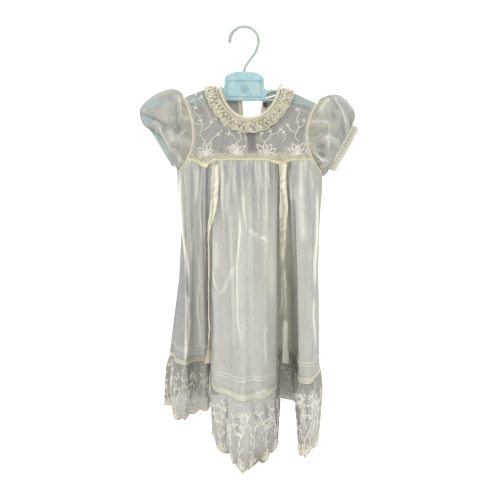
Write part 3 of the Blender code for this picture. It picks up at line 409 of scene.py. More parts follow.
# the raised rim and flower in a darker blue: painted shade round the relief
bluePlastic = plasticMaterial("paleBluePlastic", {
    "base": (140, 176, 182), "other": (166, 188, 187), "raised": (112, 150, 162),
    "mould": 1.5, "gloss": 0.32})
hookCoat = plasticMaterial("palePaintedWire", {
    "base": (148, 160, 152), "other": (170, 180, 170), "raised": (160, 170, 162), "mould": 0.3, "gloss": 0.5})


def rustMaterial(name, **look):
    material, tree, shader, place = newMaterial(name)
    spots = noise(tree, place, 500.0, Detail=6.0)
    share = ranged(tree, spots, 0.42, 0.6)
    surface(tree, shader, spots, 0.6, 0.0002, {
        "Base Color": layered(tree, look, (share, "other")), "Roughness": 0.6,
        "Metallic": maths(tree, "SUBTRACT", 0.7, maths(tree, "MULTIPLY", share, 0.5))})
    return material


rustyMetal = rustMaterial("rustyMetal", base=(52, 42, 34), other=(120, 96, 74))
print("materials made")


# Geometry Nodes: raised cords, dots and stitches that follow the cloth

def geometry(tree, kind, inputs=(), **settings):
    return newNode(tree, "GeometryNode" + kind, inputs, **settings).outputs[0]


def nodeTree(name, *inputs):
    tree = bpy.data.node_groups.new(name, "GeometryNodeTree")
    tree.interface.new_socket("Geometry", in_out="INPUT", socket_type="NodeSocketGeometry")
    tree.interface.new_socket("Geometry", in_out="OUTPUT", socket_type="NodeSocketGeometry")
    for label, kind in inputs:
        tree.interface.new_socket(label, in_out="INPUT", socket_type="NodeSocket" + kind)
    return tree, tree.nodes.new("NodeGroupInput").outputs, tree.nodes.new("NodeGroupOutput").inputs


def endTree(tree, made, end, material):
    realized = geometry(tree, "RealizeInstances", {0: made})
    tree.links.new(geometry(tree, "SetMaterial", {0: realized, "Material": material}), end[0])
    return tree


def thickness(tree):
    return geometry(tree, "InputNamedAttribute", {0: "thick"}, data_type="FLOAT")


def bead(tree, segments):
    ball = geometry(tree, "MeshUVSphere", {"Segments": segments, "Rings": 4, "Radius": 1.0})
    return geometry(tree, "SetShadeSmooth", {0: ball})


def cordTree(material):
    # a round cord along every chain of edges, as thick as its "thick" attribute says
    tree, start, end = nodeTree("raisedCord", ("Sides", "Int"))
    curve = geometry(tree, "MeshToCurve", {0: start["Geometry"]})
    ring = geometry(tree, "CurvePrimitiveCircle", {"Resolution": start["Sides"], "Radius": 1.0})
    tube = geometry(tree, "CurveToMesh", {0: curve, 1: ring, "Scale": thickness(tree), "Fill Caps": True})
    return endTree(tree, geometry(tree, "SetShadeSmooth", {0: tube}), end, material)


def dotTree(material):
    # a low bead on every point, as large as its "thick" attribute says
    tree, start, end = nodeTree("raisedDot", ("Segments", "Int"))
    beads = geometry(tree, "InstanceOnPoints", {
        "Points": start["Geometry"], "Instance": bead(tree, start["Segments"]), "Scale": thickness(tree)})
    return endTree(tree, beads, end, material)


def stitchTree(material):
    # short stitches laid end to end along every chain of edges
    tree, start, end = nodeTree("runningStitch", ("Spacing", "Float"), ("Stitch length", "Float"),
                                ("Thread", "Float"))
    curve = geometry(tree, "MeshToCurve", {0: start["Geometry"]})
    evenly = geometry(tree, "ResampleCurve", {"Curve": curve, "Length": start["Spacing"]}, mode="LENGTH")
    tangent = geometry(tree, "InputTangent")
    turn = newNode(tree, "FunctionNodeAlignRotationToVector", {"Vector": tangent}, axis="Z")
    size = shaderNode(tree, "CombineXYZ", {0: start["Thread"], 1: start["Thread"], 2: start["Stitch length"]})
    laid = geometry(tree, "InstanceOnPoints", {
        "Points": evenly, "Instance": bead(tree, 6), "Rotation": turn.outputs[0], "Scale": size.outputs[0]})
    return endTree(tree, laid, end, material)


def grownMesh(name, chains, thicks, tree, values):
    # chains of points as bare edges, grown by a tree into a plain mesh
    points, edges, thick = [], [], []
    for chain, size in zip(chains, thicks):
        first = len(points)
        points += [tuple(p) for p in np.asarray(chain) * mm]
        edges += [(first + i, first + i + 1) for i in range(len(chain) - 1)]
        thick += list(np.broadcast_to(size, len(chain)) * mm)
    mesh = bpy.data.meshes.new(name + "Path")
    mesh.from_pydata(points, edges, [])
    mesh.attributes.new("thick", "FLOAT", "POINT").data.foreach_set("value", np.array(thick, np.float32))
    path = newObject(name + "Path", mesh)
    modifier = path.modifiers.new("grow", "NODES")
    modifier.node_group = tree
    for socket in tree.interface.items_tree:
        if socket.name in values:
            modifier[socket.identifier] = values[socket.name]
    bpy.context.view_layer.update()
    grown = bpy.data.meshes.new_from_object(path.evaluated_get(bpy.context.evaluated_depsgraph_get()))
    bpy.data.objects.remove(path)
    grown.name = name
    return newObject(name, grown)


def cords(name, chains, thicks, material, sides=5):
    return grownMesh(name, chains, thicks, cordTree(material), {"Sides": sides})


def dots(name, points, sizes, material):
    return grownMesh(name, [[p] for p in points], sizes, dotTree(material), {"Segments": 6})


def stitches(name, chains, material, spacing, length, thread):
    values = {"Spacing": spacing * mm, "Stitch length": length * mm, "Thread": thread * mm}
    return grownMesh(name, chains, [0.0] * len(chains), stitchTree(material), values)


def joined(name, *pieces):
    # several grown meshes as one piece
    first = pieces[0]
    if len(pieces) > 1:
        with bpy.context.temp_override(active_object=first, object=first, selected_objects=pieces,
                                       selected_editable_objects=pieces):
            bpy.ops.object.join()
    first.name = first.data.name = name
    return first


def clothMap(outer, normals, closed=False):
    # places on a grid of cloth, by how far along it and how far down it they are
    along, down = spread(outer, closed)
    rows, columns = outer.shape[:2]

    def at(points, lift):
        far, deep = np.asarray(points, float).reshape(-1, 2).T
        column = np.interp(far % along[-1] if closed else far, along, np.arange(len(along)))
        row = np.interp(deep, down, np.arange(rows))
        c, r = np.minimum(column.astype(int), len(along) - 2), np.minimum(row.astype(int), rows - 2)
        s, t, d = (column - c)[:, None], (row - r)[:, None], (c + 1) % columns

        def mixed(grid):
            return ((grid[r, c] * (1 - s) + grid[r, d] * s) * (1 - t)
                    + (grid[r + 1, c] * (1 - s) + grid[r + 1, d] * s) * t)

        return mixed(outer) + unit(mixed(normals)) * lift

    return at, along, down


# Embroidered shapes, flat: across and up, in millimetres

def turned(points, degrees, place=(0.0, 0.0), size=1.0):
    turn = math.radians(degrees)
    x, z = np.asarray(points, float).T * size
    return np.stack([x * math.cos(turn) + z * math.sin(turn) + place[0],
                     z * math.cos(turn) - x * math.sin(turn) + place[1]], axis=1)


def petal(length, half, degrees=0.0, place=(0.0, 0.0), points=8):
    t = np.linspace(0.0, 1.0, points)
    wide = half * np.sin(pi * t ** 0.85)
    loop = np.concatenate([np.stack([-wide, t * length], axis=1),
                           np.stack([wide, t * length], axis=1)[-2::-1]])
    return turned(loop, degrees, place)


def stem(*spots, points=9):
    return smoothCurve(np.arange(len(spots)), np.array(spots, float), np.linspace(0, len(spots) - 1, points))


# The form of the gown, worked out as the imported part's is

gown = {"centreX": 9.0, "ridgeLift": 1.9, "depth": 25.0, "sideLess": 3.0, "roundDrop": 70.0, "neckHalf": 54.0,
        "neckTop": -102.4, "neckDropFront": 64.0, "neckDropBack": 13.0, "neckCurve": 1.2, "seam": -228.5,
        "openLeft": (-3.0, 4.5), "openRight": (32.0, 12.5), "placket": 8.0}
armTop = [(33.8, -104.2), (45, -104.6), (58, -105.6), (75, -109.8), (88, -114.6), (102, -120.8),
          (124, -131.0)]
Armhole = namedtuple("Armhole", "topX topZ frontX frontZ underX underZ")
armholes = {"left": Armhole(-102.0, -119.0, -83.5, -195.0, -112.0, -253.0),
            "right": Armhole(124.0, -129.2, 103.5, -195.0, 131.0, -253.0)}


def ridge(x):
    xs, zs = zip(*armTop)
    return np.minimum(smoothCurve(xs, zs, np.clip(np.abs(x), xs[0], xs[-1])) + gown["ridgeLift"],
                      gown["neckTop"])


def bodiceDepth(x, z):
    sideways = (np.asarray(x) - gown["centreX"]) / 100.0
    depth = gown["depth"] - gown["sideLess"] * sideways ** 2
    drop = np.clip((ridge(x) - z) / gown["roundDrop"], 0.0, 1.0)
    return depth * np.sqrt(np.maximum(0.0, 1.0 - (1.0 - drop) ** 2))


def onBodice(x, z, front):
    return np.stack([x, bodiceDepth(x, z) * (-1 if front else 1), z], axis=1)


def armholeOutline(side, angle):
    hole = armholes[side]
    turn, twice = np.cos(angle), np.cos(2 * np.asarray(angle))
    return [(top + under + 2 * front) / 4 + (top - under) / 2 * turn + (top + under - 2 * front) / 4 * twice
            for top, front, under in ((hole.topX, hole.frontX, hole.underX),
                                      (hole.topZ, hole.frontZ, hole.underZ))]


halfTurn = np.linspace(0.0, pi, 361)


def armholeX(side, z):
    xs, zs = armholeOutline(side, halfTurn)
    return np.interp(-np.asarray(z), -zs, xs)


cornerAngle = {side: float(np.interp(-gown["seam"], -armholeOutline(side, halfTurn)[1], halfTurn))
               for side in armholes}
cornerX = {side: float(armholeX(side, gown["seam"])) for side in armholes}


def underarmPoint(side, t, front):
    start = cornerAngle[side]
    x, z = armholeOutline(side, start + (pi - start) * t)
    depth = bodiceDepth(cornerX[side], gown["seam"]) * np.sqrt(np.maximum(0.0, 1.0 - t * t))
    return np.array([x, -depth if front else depth, z])


def seamPoint(x, front):
    for side in armholes:
        reach = armholes[side].underX - cornerX[side]
        beyond = (x - cornerX[side]) / reach
        if beyond > 0:
            ts = np.linspace(0.0, 1.0, 60)
            shares = (np.array([underarmPoint(side, t, front)[0] for t in ts]) - cornerX[side]) / reach
            return underarmPoint(side, float(np.interp(min(beyond, 1.0), shares, ts)), front)
    depth = float(bodiceDepth(x, gown["seam"]))
    return np.array([x, -depth if front else depth, gown["seam"]])


# Creases and tones seen from the front, by kind: how strong, how wide to
# either side, then the x and z of the points they run through. Hidden sides get them mirrored.
Mark = namedtuple("Mark", "kind amount half path")
# light marks paint highlights along ridges, on cloth that is also denser there; dark marks paint shade in
# troughs and hollows; brown marks are stains and brown lines, and painted shade in the valleys and the
# sleeves' gathers; warm is a yellowed tint, teal a blue one
markPaint = {"light": (1.0, 0, 0, 0), "dark": (0, 1.3, 0, 0), "brown": (0, 0.2, 0.9, 0),
             "warm": (0.2, 0, 0.4, 0), "teal": (0, 0, 0, 1.0)}
markHeight = {"light": 0.6, "dark": -0.7, "brown": -0.4, "warm": 0.1, "teal": 0.0}


def marksOf(**kinds):
    return [Mark(kind, row[0], row[1], np.reshape(np.array(row[2:], float), (-1, 2)))
            for kind, rows in kinds.items() for row in rows]


def layMarks(grid, normals, marks):
    # the paint and the height that the marks give each point of a piece
    paint, height = noPaint(grid), np.zeros(grid.shape[:2])
    for turn, shift, facing in ((1.0, 0.0, normals[..., 1] < -0.08),
                                (-1.0, 2 * gown["centreX"], normals[..., 1] > 0.08)):
        x, z = grid[..., 0][facing] * turn + shift, grid[..., 2][facing]
        sidePaint, sideHeight = np.zeros((len(x), 4)), np.zeros(len(x))
        for mark in marks:
            gone = runLength(mark.path)
            best, share = np.full(len(x), 1e9), np.zeros(len(x))
            for start, span, before in zip(mark.path, np.diff(mark.path, axis=0), gone):
                length = np.linalg.norm(span)
                t = np.clip(((x - start[0]) * span[0] + (z - start[1]) * span[1]) / length ** 2, 0, 1)
                away = np.hypot(x - start[0] - t * span[0], z - start[1] - t * span[1])
                share = np.where(away < best, (before + t * length) / gone[-1], share)
                best = np.minimum(away, best)
            taper = smoothStep(0, 0.18, share) * smoothStep(1, 0.82, share) * 0.8 + 0.2
            strength = mark.amount * taper * bell(best, 0, mark.half)
            sidePaint += strength[:, None] * np.array(markPaint[mark.kind])
            sideHeight += strength * markHeight[mark.kind] * min(mark.half, 2.0)
        paint[facing], height[facing] = sidePaint, sideHeight
    return paint, height


skirtMiddleMarks = marksOf(
    light=[(0.8, 1.3, -6, -309, -5, -352, -9, -397, -7, -479, -1, -509),
        (0.6, 1.2, -3, -287, 1, -320, 5, -350), (0.56, 2.4, 8, -347, 18, -356, 28, -360, 38, -365),
        (0.45, 2.4, -11, -400, -21, -420, -28, -437, -39, -449),
        (0.5, 1.5, -48, -406, -44, -424, -39, -440), (0.3, 7.6, 35, -283, 35, -348, 40, -424, 39, -467),
        (0.5, 1.3, 37, -482, 31, -495, 31, -518, 33, -542), (0.5, 1.3, -17, -239, -16, -266, -15, -293),
        (0.4, 1.9, 26, -238, 28, -258, 29, -282), (0.35, 2.5, -24, -262, -26, -293, -27, -324),
        (0.35, 2.1, -32, -244, -33, -276, -36, -308), (0.3, 4.6, -41, -360, -42, -386, -41, -409),
        (0.4, 1.9, 36, -231, 38, -252, 42, -282)],
    dark=[(0.45, 1.9, -3, -290, -1, -314, 2, -339), (0.22, 6.8, 13, -265, 16, -324, 14, -379, 17, -451),
        (0.5, 1.3, -29, -230, -29, -251, -30, -275), (0.6, 1.1, -20, -231, -20, -266, -18, -300),
        (0.6, 1.5, -13, -231, -10, -235, -10, -243), (0.6, 1.1, -3, -231, -1, -245, 0, -263),
        (0.95, 1.3, 8, -230, 10, -241, 11, -252), (0.95, 1.5, 16, -227, 15, -241, 15, -253),
        (0.8, 1.3, 14, -253, 16, -266, 19, -278), (0.9, 1.5, 21, -231, 24, -243, 22, -254, 20, -263),
        (0.5, 1.3, 21, -259, 21, -276, 20, -290), (0.45, 1.6, -42, -230, -44, -251, -40, -275),
        (0.35, 1.8, -11, -356, -14, -379, -16, -403), (0.7, 1.9, 50, -265, 53, -322, 53, -391),
        (0.5, 1.6, 42, -237, 46, -268, 49, -307)])

skirtLeftMarks = marksOf(
    light=[(0.95, 2.5, -106, -239, -105, -295, -100, -353, -93, -397, -89, -440),
        (0.9, 2.1, -90, -446, -91, -472, -89, -495, -91, -531, -92, -557),
        (0.42, 2.4, -97, -451, -92, -456, -88, -461), (0.55, 2.5, -76, -240, -77, -270, -78, -300),
        (0.6, 1.2, -70, -252, -72, -295, -72, -325, -69, -371),
        (0.45, 1.6, -83, -334, -85, -364, -85, -397), (0.45, 1.5, -76, -384, -74, -407, -74, -434),
        (0.6, 1.5, -68, -424, -74, -437, -77, -456, -77, -477, -73, -511, -73, -541)],
    dark=[(0.75, 1.8, -111, -373, -104, -414, -96, -446, -93, -465),
        (0.45, 5.4, -118, -403, -111, -453, -109, -502), (0.5, 2.3, -62, -238, -62, -262, -64, -288),
        (0.6, 2.8, -56, -264, -53, -323, -51, -379, -51, -440), (0.7, 3.8, -48, -453, -46, -482, -46, -517),
        (0.3, 5, -65, -344, -65, -411, -64, -495)])

skirtRightMarks = marksOf(
    brown=[(0.35, 7.4, 80, -402, 79, -453, 79, -514), (0.45, 1.4, 94, -477, 91, -500, 89, -523)],
    dark=[(0.8, 1.6, 82, -230, 84, -239, 84, -247), (0.6, 1.3, 80, -295, 83, -312, 86, -328),
        (0.5, 1.3, 73, -295, 75, -307, 78, -312), (0.45, 2.5, 101, -257, 105, -299, 107, -348, 106, -373),
        (0.4, 2.2, 124, -288, 122, -338, 119, -386), (0.45, 2.1, 96, -239, 99, -251, 102, -268)],
    light=[(0.55, 2.9, 77, -240, 77, -273, 78, -302), (0.45, 6.3, 89, -268, 90, -324, 94, -371),
        (0.85, 2.6, 118, -278, 116, -322, 113, -363, 107, -403, 106, -441),
        (0.8, 2.2, 104, -447, 101, -478, 104, -505, 107, -523),
        (0.4, 1.6, 107, -240, 109, -261, 111, -282)])

sleeveLeftMarks = marksOf(
    dark=[(1, 1.6, -172, -148, -163, -156, -153, -161, -142, -165, -132, -171, -126, -174),
        (0.5, 1.5, -126, -174, -117, -175, -110, -169),
        (0.55, 1.3, -112, -126, -111, -150, -109, -167, -105, -182, -103, -191),
        (0.45, 1.5, -100, -145, -100, -158, -101, -174), (0.6, 2.6, -107, -172, -104, -182, -103, -190),
        (0.6, 1.3, -131, -175, -129, -183, -129, -189), (0.4, 1.5, -113, -227, -109, -236, -106, -243),
        (0.28, 6.5, -128, -125, -119, -132, -114, -141), (0.45, 3.5, -112, -182, -107, -187, -109, -192)],
    warm=[(0.4, 1.5, -170, -146, -153, -157, -137, -163, -124, -168),
        (0.3, 8.1, -144, -150, -133, -156, -124, -164)],
    teal=[(0.65, 7.4, -162, -141, -151, -136, -141, -132), (0.35, 5.7, -137, -136, -128, -143),
        (0.7, 5.7, -167, -157, -159, -164, -153, -168)],
    light=[(0.5, 2, -108, -119, -104, -142, -101, -163), (0.6, 1.5, -103, -194, -97, -186, -92, -178),
        (0.7, 2.1, -140, -172, -134, -187, -128, -200, -118, -214, -108, -218),
        (0.35, 5.8, -122, -182, -117, -195, -114, -206), (0.4, 4.1, -106, -223, -104, -232, -103, -239),
        (0.7, 1.5, -104, -246, -97, -236, -92, -223), (0.5, 1.3, -153, -172, -147, -170, -140, -170)],
    brown=[(0.9, 1.6, -137, -192, -130, -201, -120, -215, -113, -227)])

sleeveRightMarks = marksOf(
    dark=[(0.9, 1.5, 143, -118, 147, -133, 152, -148, 157, -156),
        (0.75, 1.3, 157, -156, 160, -172, 162, -184, 165, -192),
        (0.28, 7.3, 142, -140, 145, -155, 144, -173), (0.35, 5.8, 114, -203, 123, -207, 130, -213),
        (0.32, 5.8, 114, -218, 123, -223, 131, -229), (0.65, 1.1, 144, -190, 148, -195, 152, -201),
        (0.65, 1.1, 151, -184, 155, -191, 159, -198), (0.5, 1.2, 166, -168, 171, -176, 177, -181),
        (0.5, 1.2, 173, -160, 178, -167, 181, -172), (0.6, 1.1, 138, -210, 143, -213, 149, -214),
        (0.6, 1.1, 137, -218, 142, -220, 147, -221), (0.6, 1.1, 136, -225, 140, -227, 145, -226),
        (0.75, 1.5, 110, -217, 118, -227, 128, -239), (0.85, 1.6, 109, -225, 115, -234, 125, -244),
        (0.6, 1.6, 114, -223, 120, -236, 126, -247)],
    light=[(0.6, 2.1, 147, -121, 153, -137, 159, -153, 164, -169, 171, -177),
        (0.55, 3.3, 122, -151, 130, -140, 142, -127), (0.3, 4.9, 123, -148, 128, -162),
        (0.7, 1.3, 112, -166, 120, -169, 130, -172, 136, -176), (0.6, 1.3, 136, -176, 137, -187, 136, -198),
        (0.6, 1.5, 109, -195, 119, -195, 128, -190), (0.6, 1.1, 110, -209, 121, -216, 132, -219),
        (0.5, 2.9, 130, -193, 135, -205, 136, -219), (0.5, 1.8, 131, -197, 143, -200, 156, -203),
        (0.6, 1.5, 112, -214, 120, -226, 132, -236), (0.7, 1.8, 115, -215, 122, -227, 129, -238),
        (0.4, 1.6, 127, -229, 133, -234, 138, -236)],
    teal=[(0.35, 5.2, 125, -146, 128, -158)],
    brown=[(0.95, 4.2, 126, -177, 131, -182), (0.4, 3.6, 112, -186, 119, -187)])

flounceMarks = marksOf(
    dark=[(0.9, 1.7, -22, -578, -21, -600, -24, -636), (0.5, 2.6, 30, -580, 34, -604, 33, -632),
        (0.4, 2.2, -4, -586, -7, -608, -5, -634), (0.4, 1.8, 14, -580, 18, -596, 17, -622),
        (0.6, 1.8, -86, -566, -84, -590, -86, -622), (0.5, 2, -74, -570, -72, -596, -74, -618),
        (0.5, 2.4, 84, -572, 86, -600, 84, -634)],
    light=[(0.5, 1.6, -18, -576, -17, -600, -19, -632), (0.35, 2.4, 6, -584, 8, -606, 4, -630),
        (0.6, 1.8, -92, -562, -93, -590, -92, -628), (0.4, 1.5, -66, -566, -66, -590, -68, -612),
        (0.5, 1.6, 92, -570, 95, -600, 93, -632)],
    brown=[(0.5, 6, -30, -640, 0, -652, 34, -636)])

# on the yoke the large dark mark over the middle paints the shade behind the back opening
yokeMarks = marksOf(
    dark=[(1, 9.5, 12, -170, 12, -186, 13, -202, 12, -222, 12, -236),
        (0.5, 4.1, 3, -188, 10, -186, 20, -188), (0.18, 8.2, -79, -164, -72, -181, -75, -200),
        (0.15, 8.2, 76, -161, 86, -174, 79, -194)],
    warm=[(0.5, 3.3, 20, -191, 25, -199, 23, -209),
        (0.35, 6, -88, -222, -40, -224, 10, -223, 60, -224, 108, -222),
        (0.35, 5.9, -98, -117, -81, -110, -64, -113)],
    light=[(0.3, 5.5, -88, -222, -40, -224, 10, -223, 60, -224, 108, -222),
        (0.22, 9, -74, -212, -62, -209, -50, -213), (0.2, 8, -24, -212, -12, -210, -2, -213),
        (0.24, 9, 26, -212, 37, -208, 50, -213), (0.22, 9, 76, -212, 88, -209, 98, -213),
        (0.25, 2.6, -73, -123, -64, -142, -54, -161), (0.2, 4.9, -36, -214, -19, -211, -3, -216),
        (0.2, 4.9, 62, -217, 79, -210, 95, -215)],
    teal=[(0.8, 4.6, -97, -135, -84, -129, -70, -126, -52, -124),
        (0.85, 4.8, 70, -121, 86, -125, 102, -132, 119, -143)])


# The skirt: each fold's place on the yoke seam and in the hem's plan, and its bow
Fold = namedtuple("Fold", "seamX hemX hemY bow")
frontFolds = [Fold(*row) for row in ((-112, -96, -48, 9), (None, -86, -18, 6), (-80, -74, -8, 3),
    (-70, -64, -6, 0), (-63, -62, 12, 0), (-58, -59, 47, 0), (-53, -35, -135, -2), (-38, -19, -157, 0),
    (-2, 2, -200, 0), (12, 15, -183, 0), (25, 25, -177, 0), (48, 44, -138, 0), (54, 50, -95, 0),
    (58, 61, 47, 0), (63, 82, 49, 0), (66, 92, 25, 0), (70, 89, -37, 2), (73, 84, -81, 4),
    (78, 75, -154, 4), (None, 81, -161, 4), (131, 90, -147, 0))]
backFolds = [Fold(*row) for row in ((131, 90, -147, 0), (125, 108, -108, 3), (118, 124, -20, 0),
    (None, 132, 34, 0), (98, 112, 88, 0), (80, 78, 66, 0), (55, 40, 104, 0), (22, 4, 64, 0),
    (-10, -34, 102, 0), (-45, -70, 58, 0), (-70, -104, 98, 0), (None, -134, 60, 0), (-96, -141, 26, 0),
    (-100, -129, 18, 0), (-106, -112, -36, 0), (-112, -96, -48, 9))]
skirt = {"bandTop": -556.0, "bandHeight": 6.0, "bandShares": (0.2, 0.5, 0.8, 1.0),
         "hem": -644.0, "scallop": 5.0, "bulge": 4.0, "wave": 1.05, "gather": 3, "gatherSize": 1.5,
         "uneven": 0.28, "rhythm": 2.4, "seamWeight": 2.0, "frontColumns": (4, 70, 4),
         "backColumns": (6, 54, 6), "finerFront": 5, "finerBack": 4, "rows": 74, "flounceRows": 22,
         "dip": 15.0, "tucks": (-536.5, -540.0)}


def hemLoop():
    rows = []
    for folds, sides in ((frontFolds, ["left", "right"]), (backFolds, ["right", "left"])):
        for fold in folds[:-1]:
            rows.append(fold._replace(seamX=cornerX[sides.pop(0)]) if fold.seamX is None else fold)
    return rows


loop = hemLoop()
frontRows = len(frontFolds) - 1


def curveBetween(before, start, end, after, t):
    knots = [0.0]
    for a, b in ((before, start), (start, end), (end, after)):
        knots.append(knots[-1] + max(np.linalg.norm(b - a), 1e-6) ** 0.5)
    k = knots[1] + (knots[2] - knots[1]) * t
    points = [before, start, end, after]
    for pairs in (((0, 1), (1, 2), (2, 3)), ((0, 2), (1, 3)), ((1, 2),)):
        points = [points[i] + (points[i + 1] - points[i]) * (k - knots[low]) / (knots[high] - knots[low])
                  for i, (low, high) in enumerate(pairs)]
    return points[0]


def loopValues(place):
    row = int(math.floor(place + 1e-9))
    t = float(place - row)
    near = [loop[(row + i) % len(loop)] for i in (-1, 0, 1, 2)]
    hem = curveBetween(*(np.array([fold.hemX, fold.hemY], float) for fold in near), t)
    low, high = near[1], near[2]
    seamX, bow = low.seamX * (1 - t) + high.seamX * t, low.bow * (1 - t) + high.bow * t
    return seamPoint(seamX, row % len(loop) < frontRows), hem, bow


def hung(top, hem, bow, z):
    # the line on which the cloth falls from the yoke seam to the hem
    fall = (top[2] - z) / (top[2] - skirt["hem"])
    return np.stack([top[0] + (hem[0] - top[0]) * fall + bow * 4 * fall * (1 - fall),
                     top[1] + (hem[1] - top[1]) * fall, z], axis=-1)


def skirtPoint(place, z):
    return hung(*loopValues(place), z)


def evenPlaces(first, last, count):
    places = np.linspace(first, last, 16 * (last - first) + 1)
    spots = [(*hem, top[0] * skirt["seamWeight"]) for top, hem, _ in map(loopValues, places)]
    lengths = runLength(spots)
    return list(np.interp(np.linspace(0.0, lengths[-1], count + 1)[:-1], lengths, places))


def columnPlaces():
    corners = [i for i, fold in enumerate(frontFolds) if fold.seamX is None]
    backCorners = [frontRows + i for i, fold in enumerate(backFolds) if fold.seamX is None]
    bounds = [0, *corners, frontRows, *backCorners, len(loop)]
    places = []
    for first, last, count in zip(bounds, bounds[1:], skirt["frontColumns"] + skirt["backColumns"]):
        places += evenPlaces(first, last, count)
    return np.array(places)


places = columnPlaces()
frontCount = sum(skirt["frontColumns"])
totalCount = len(places)
columnNumbers = np.concatenate([np.arange(0, frontCount, 1 / skirt["finerFront"]),
                                np.arange(frontCount, totalCount, 1 / skirt["finerBack"])])
frontFine = frontCount * skirt["finerFront"]


def placeAt(number):
    return np.interp(number, np.arange(totalCount + 1), np.append(places, len(loop)))


columnPlace = placeAt(columnNumbers)
print("skirt columns placed")


def gatherWave(numbers):
    depth = 1 - skirt["uneven"] * (1 - np.sin(skirt["rhythm"] * numbers / skirt["gather"]))
    return np.cos(2 * pi * numbers / skirt["gather"]) * depth


# Creases: where each starts and ends along the folds' table, from which height to which,
# how deep it is (a ridge stands out) and how wide to either side
Crease = namedtuple("Crease", "top bottom high low depth half")
creases = [Crease(*row) for row in ((0.55, 0.35, -262, -560, -1.6, 5), (1.1, 0.9, -240, -470, 1.4, 4),
    (1.5, 1.2, -232, -545, -2.2, 5), (1.9, 1.7, -236, -420, 1.5, 4), (2.3, 2.2, -232, -520, -2, 5),
    (2.7, 2.5, -300, -550, 1.3, 4), (3.1, 3.2, -232, -410, -1.6, 3), (4.3, 4.2, -240, -500, -1.5, 3),
    (5.4, 5.4, -240, -470, -1.6, 6), (6.1, 6.2, -250, -340, -1.4, 4), (6.35, 6.8, -234, -420, 1.5, 4),
    (6.7, 6.55, -236, -520, -1.8, 5), (6.9, 7.1, -232, -372, 1.8, 3.5), (7.05, 7.3, -240, -545, -1.9, 5),
    (7.2, 7.45, -230, -330, -2, 3.5), (7.3, 7.6, -300, -556, 1.6, 4), (7.42, 7.3, -232, -300, 1.7, 3),
    (7.55, 7.72, -234, -480, -2, 4.5), (7.68, 7.9, -260, -540, 1.4, 4), (7.8, 7.85, -231, -345, -2.2, 3.5),
    (7.98, 8.3, -232, -400, 1.6, 4), (8.25, 8.2, -232, -300, -2.6, 3.5), (8.5, 8.1, -236, -450, -1.8, 4.5),
    (8.8, 8.9, -240, -556, 1.5, 5), (9.1, 9.3, -232, -330, -1.7, 3.5), (9.5, 9.6, -250, -530, -1.9, 5),
    (9.8, 9.9, -232, -380, 1.5, 4), (10.2, 10.1, -234, -470, -2.1, 5), (10.4, 10.5, -232, -350, 1.6, 4),
    (10.7, 10.6, -236, -556, -1.7, 5), (11.2, 11.1, -232, -400, -2, 5), (11.6, 11.5, -260, -540, 1.4, 5),
    (12.3, 12.4, -236, -450, -1.6, 6), (13.4, 13.3, -240, -520, -1.5, 5), (14.3, 14.4, -236, -480, 1.4, 4),
    (15.2, 15.3, -234, -430, -1.8, 5), (16.2, 16, -236, -540, -1.8, 6), (16.8, 16.9, -250, -500, 1.5, 5),
    (17.3, 17.4, -232, -420, -2, 5), (17.8, 17.6, -240, -556, -1.6, 6), (18.15, 18.1, -232, -370, -2, 4),
    (18.4, 18.3, -236, -300, 1.8, 4), (18.7, 18.5, -234, -520, -1.8, 4), (19.2, 19.2, -236, -540, -1.5, 4),
    (19.6, 19.5, -262, -430, 1.4, 4), (20.6, 20.5, -262, -520, -1.8, 6), (21.4, 21.5, -256, -556, -2, 7),
    (22.3, 22.2, -246, -440, 1.6, 6), (23.1, 23.3, -236, -540, -2.1, 7), (23.7, 23.8, -232, -400, -1.8, 5),
    (24.3, 24.2, -240, -556, 1.6, 6), (24.8, 24.9, -232, -360, -2, 4), (25.4, 25.3, -236, -520, -2, 6),
    (25.9, 26.1, -232, -430, 1.7, 5), (26.5, 26.4, -240, -556, -1.9, 7), (26.9, 27, -232, -350, -2.2, 4),
    (27.4, 27.5, -236, -500, 1.6, 6), (27.9, 27.8, -232, -420, -2, 5), (28.4, 28.5, -250, -556, -1.8, 7),
    (28.9, 29, -232, -380, 1.7, 5), (29.5, 29.4, -236, -530, -2.1, 6), (30.1, 30.2, -232, -450, -1.7, 5),
    (30.7, 30.6, -240, -556, 1.6, 6), (31.4, 31.5, -240, -500, -1.9, 6), (32.3, 32.2, -250, -540, -1.6, 5),
    (33.5, 33.4, -256, -480, 1.5, 5), (34.5, 34.4, -262, -556, -1.7, 6))]


def skirtRows():
    shares = np.linspace(0.0, 1.0, skirt["rows"]) ** 1.35
    depth = skirt["bandTop"] - gown["seam"]
    extra = [(z - gown["seam"] + step) / depth for z in skirt["tucks"] for step in (-1.1, -0.45, 0.45, 1.1)]
    return np.unique(np.round(np.concatenate([shares, extra]), 5))


skirtShares = skirtRows()
flounceShares = np.linspace(0.0, 1.0, skirt["flounceRows"]) ** 0.9
skirtEnd = len(skirtShares)
bandEnd = skirtEnd + len(skirt["bandShares"])


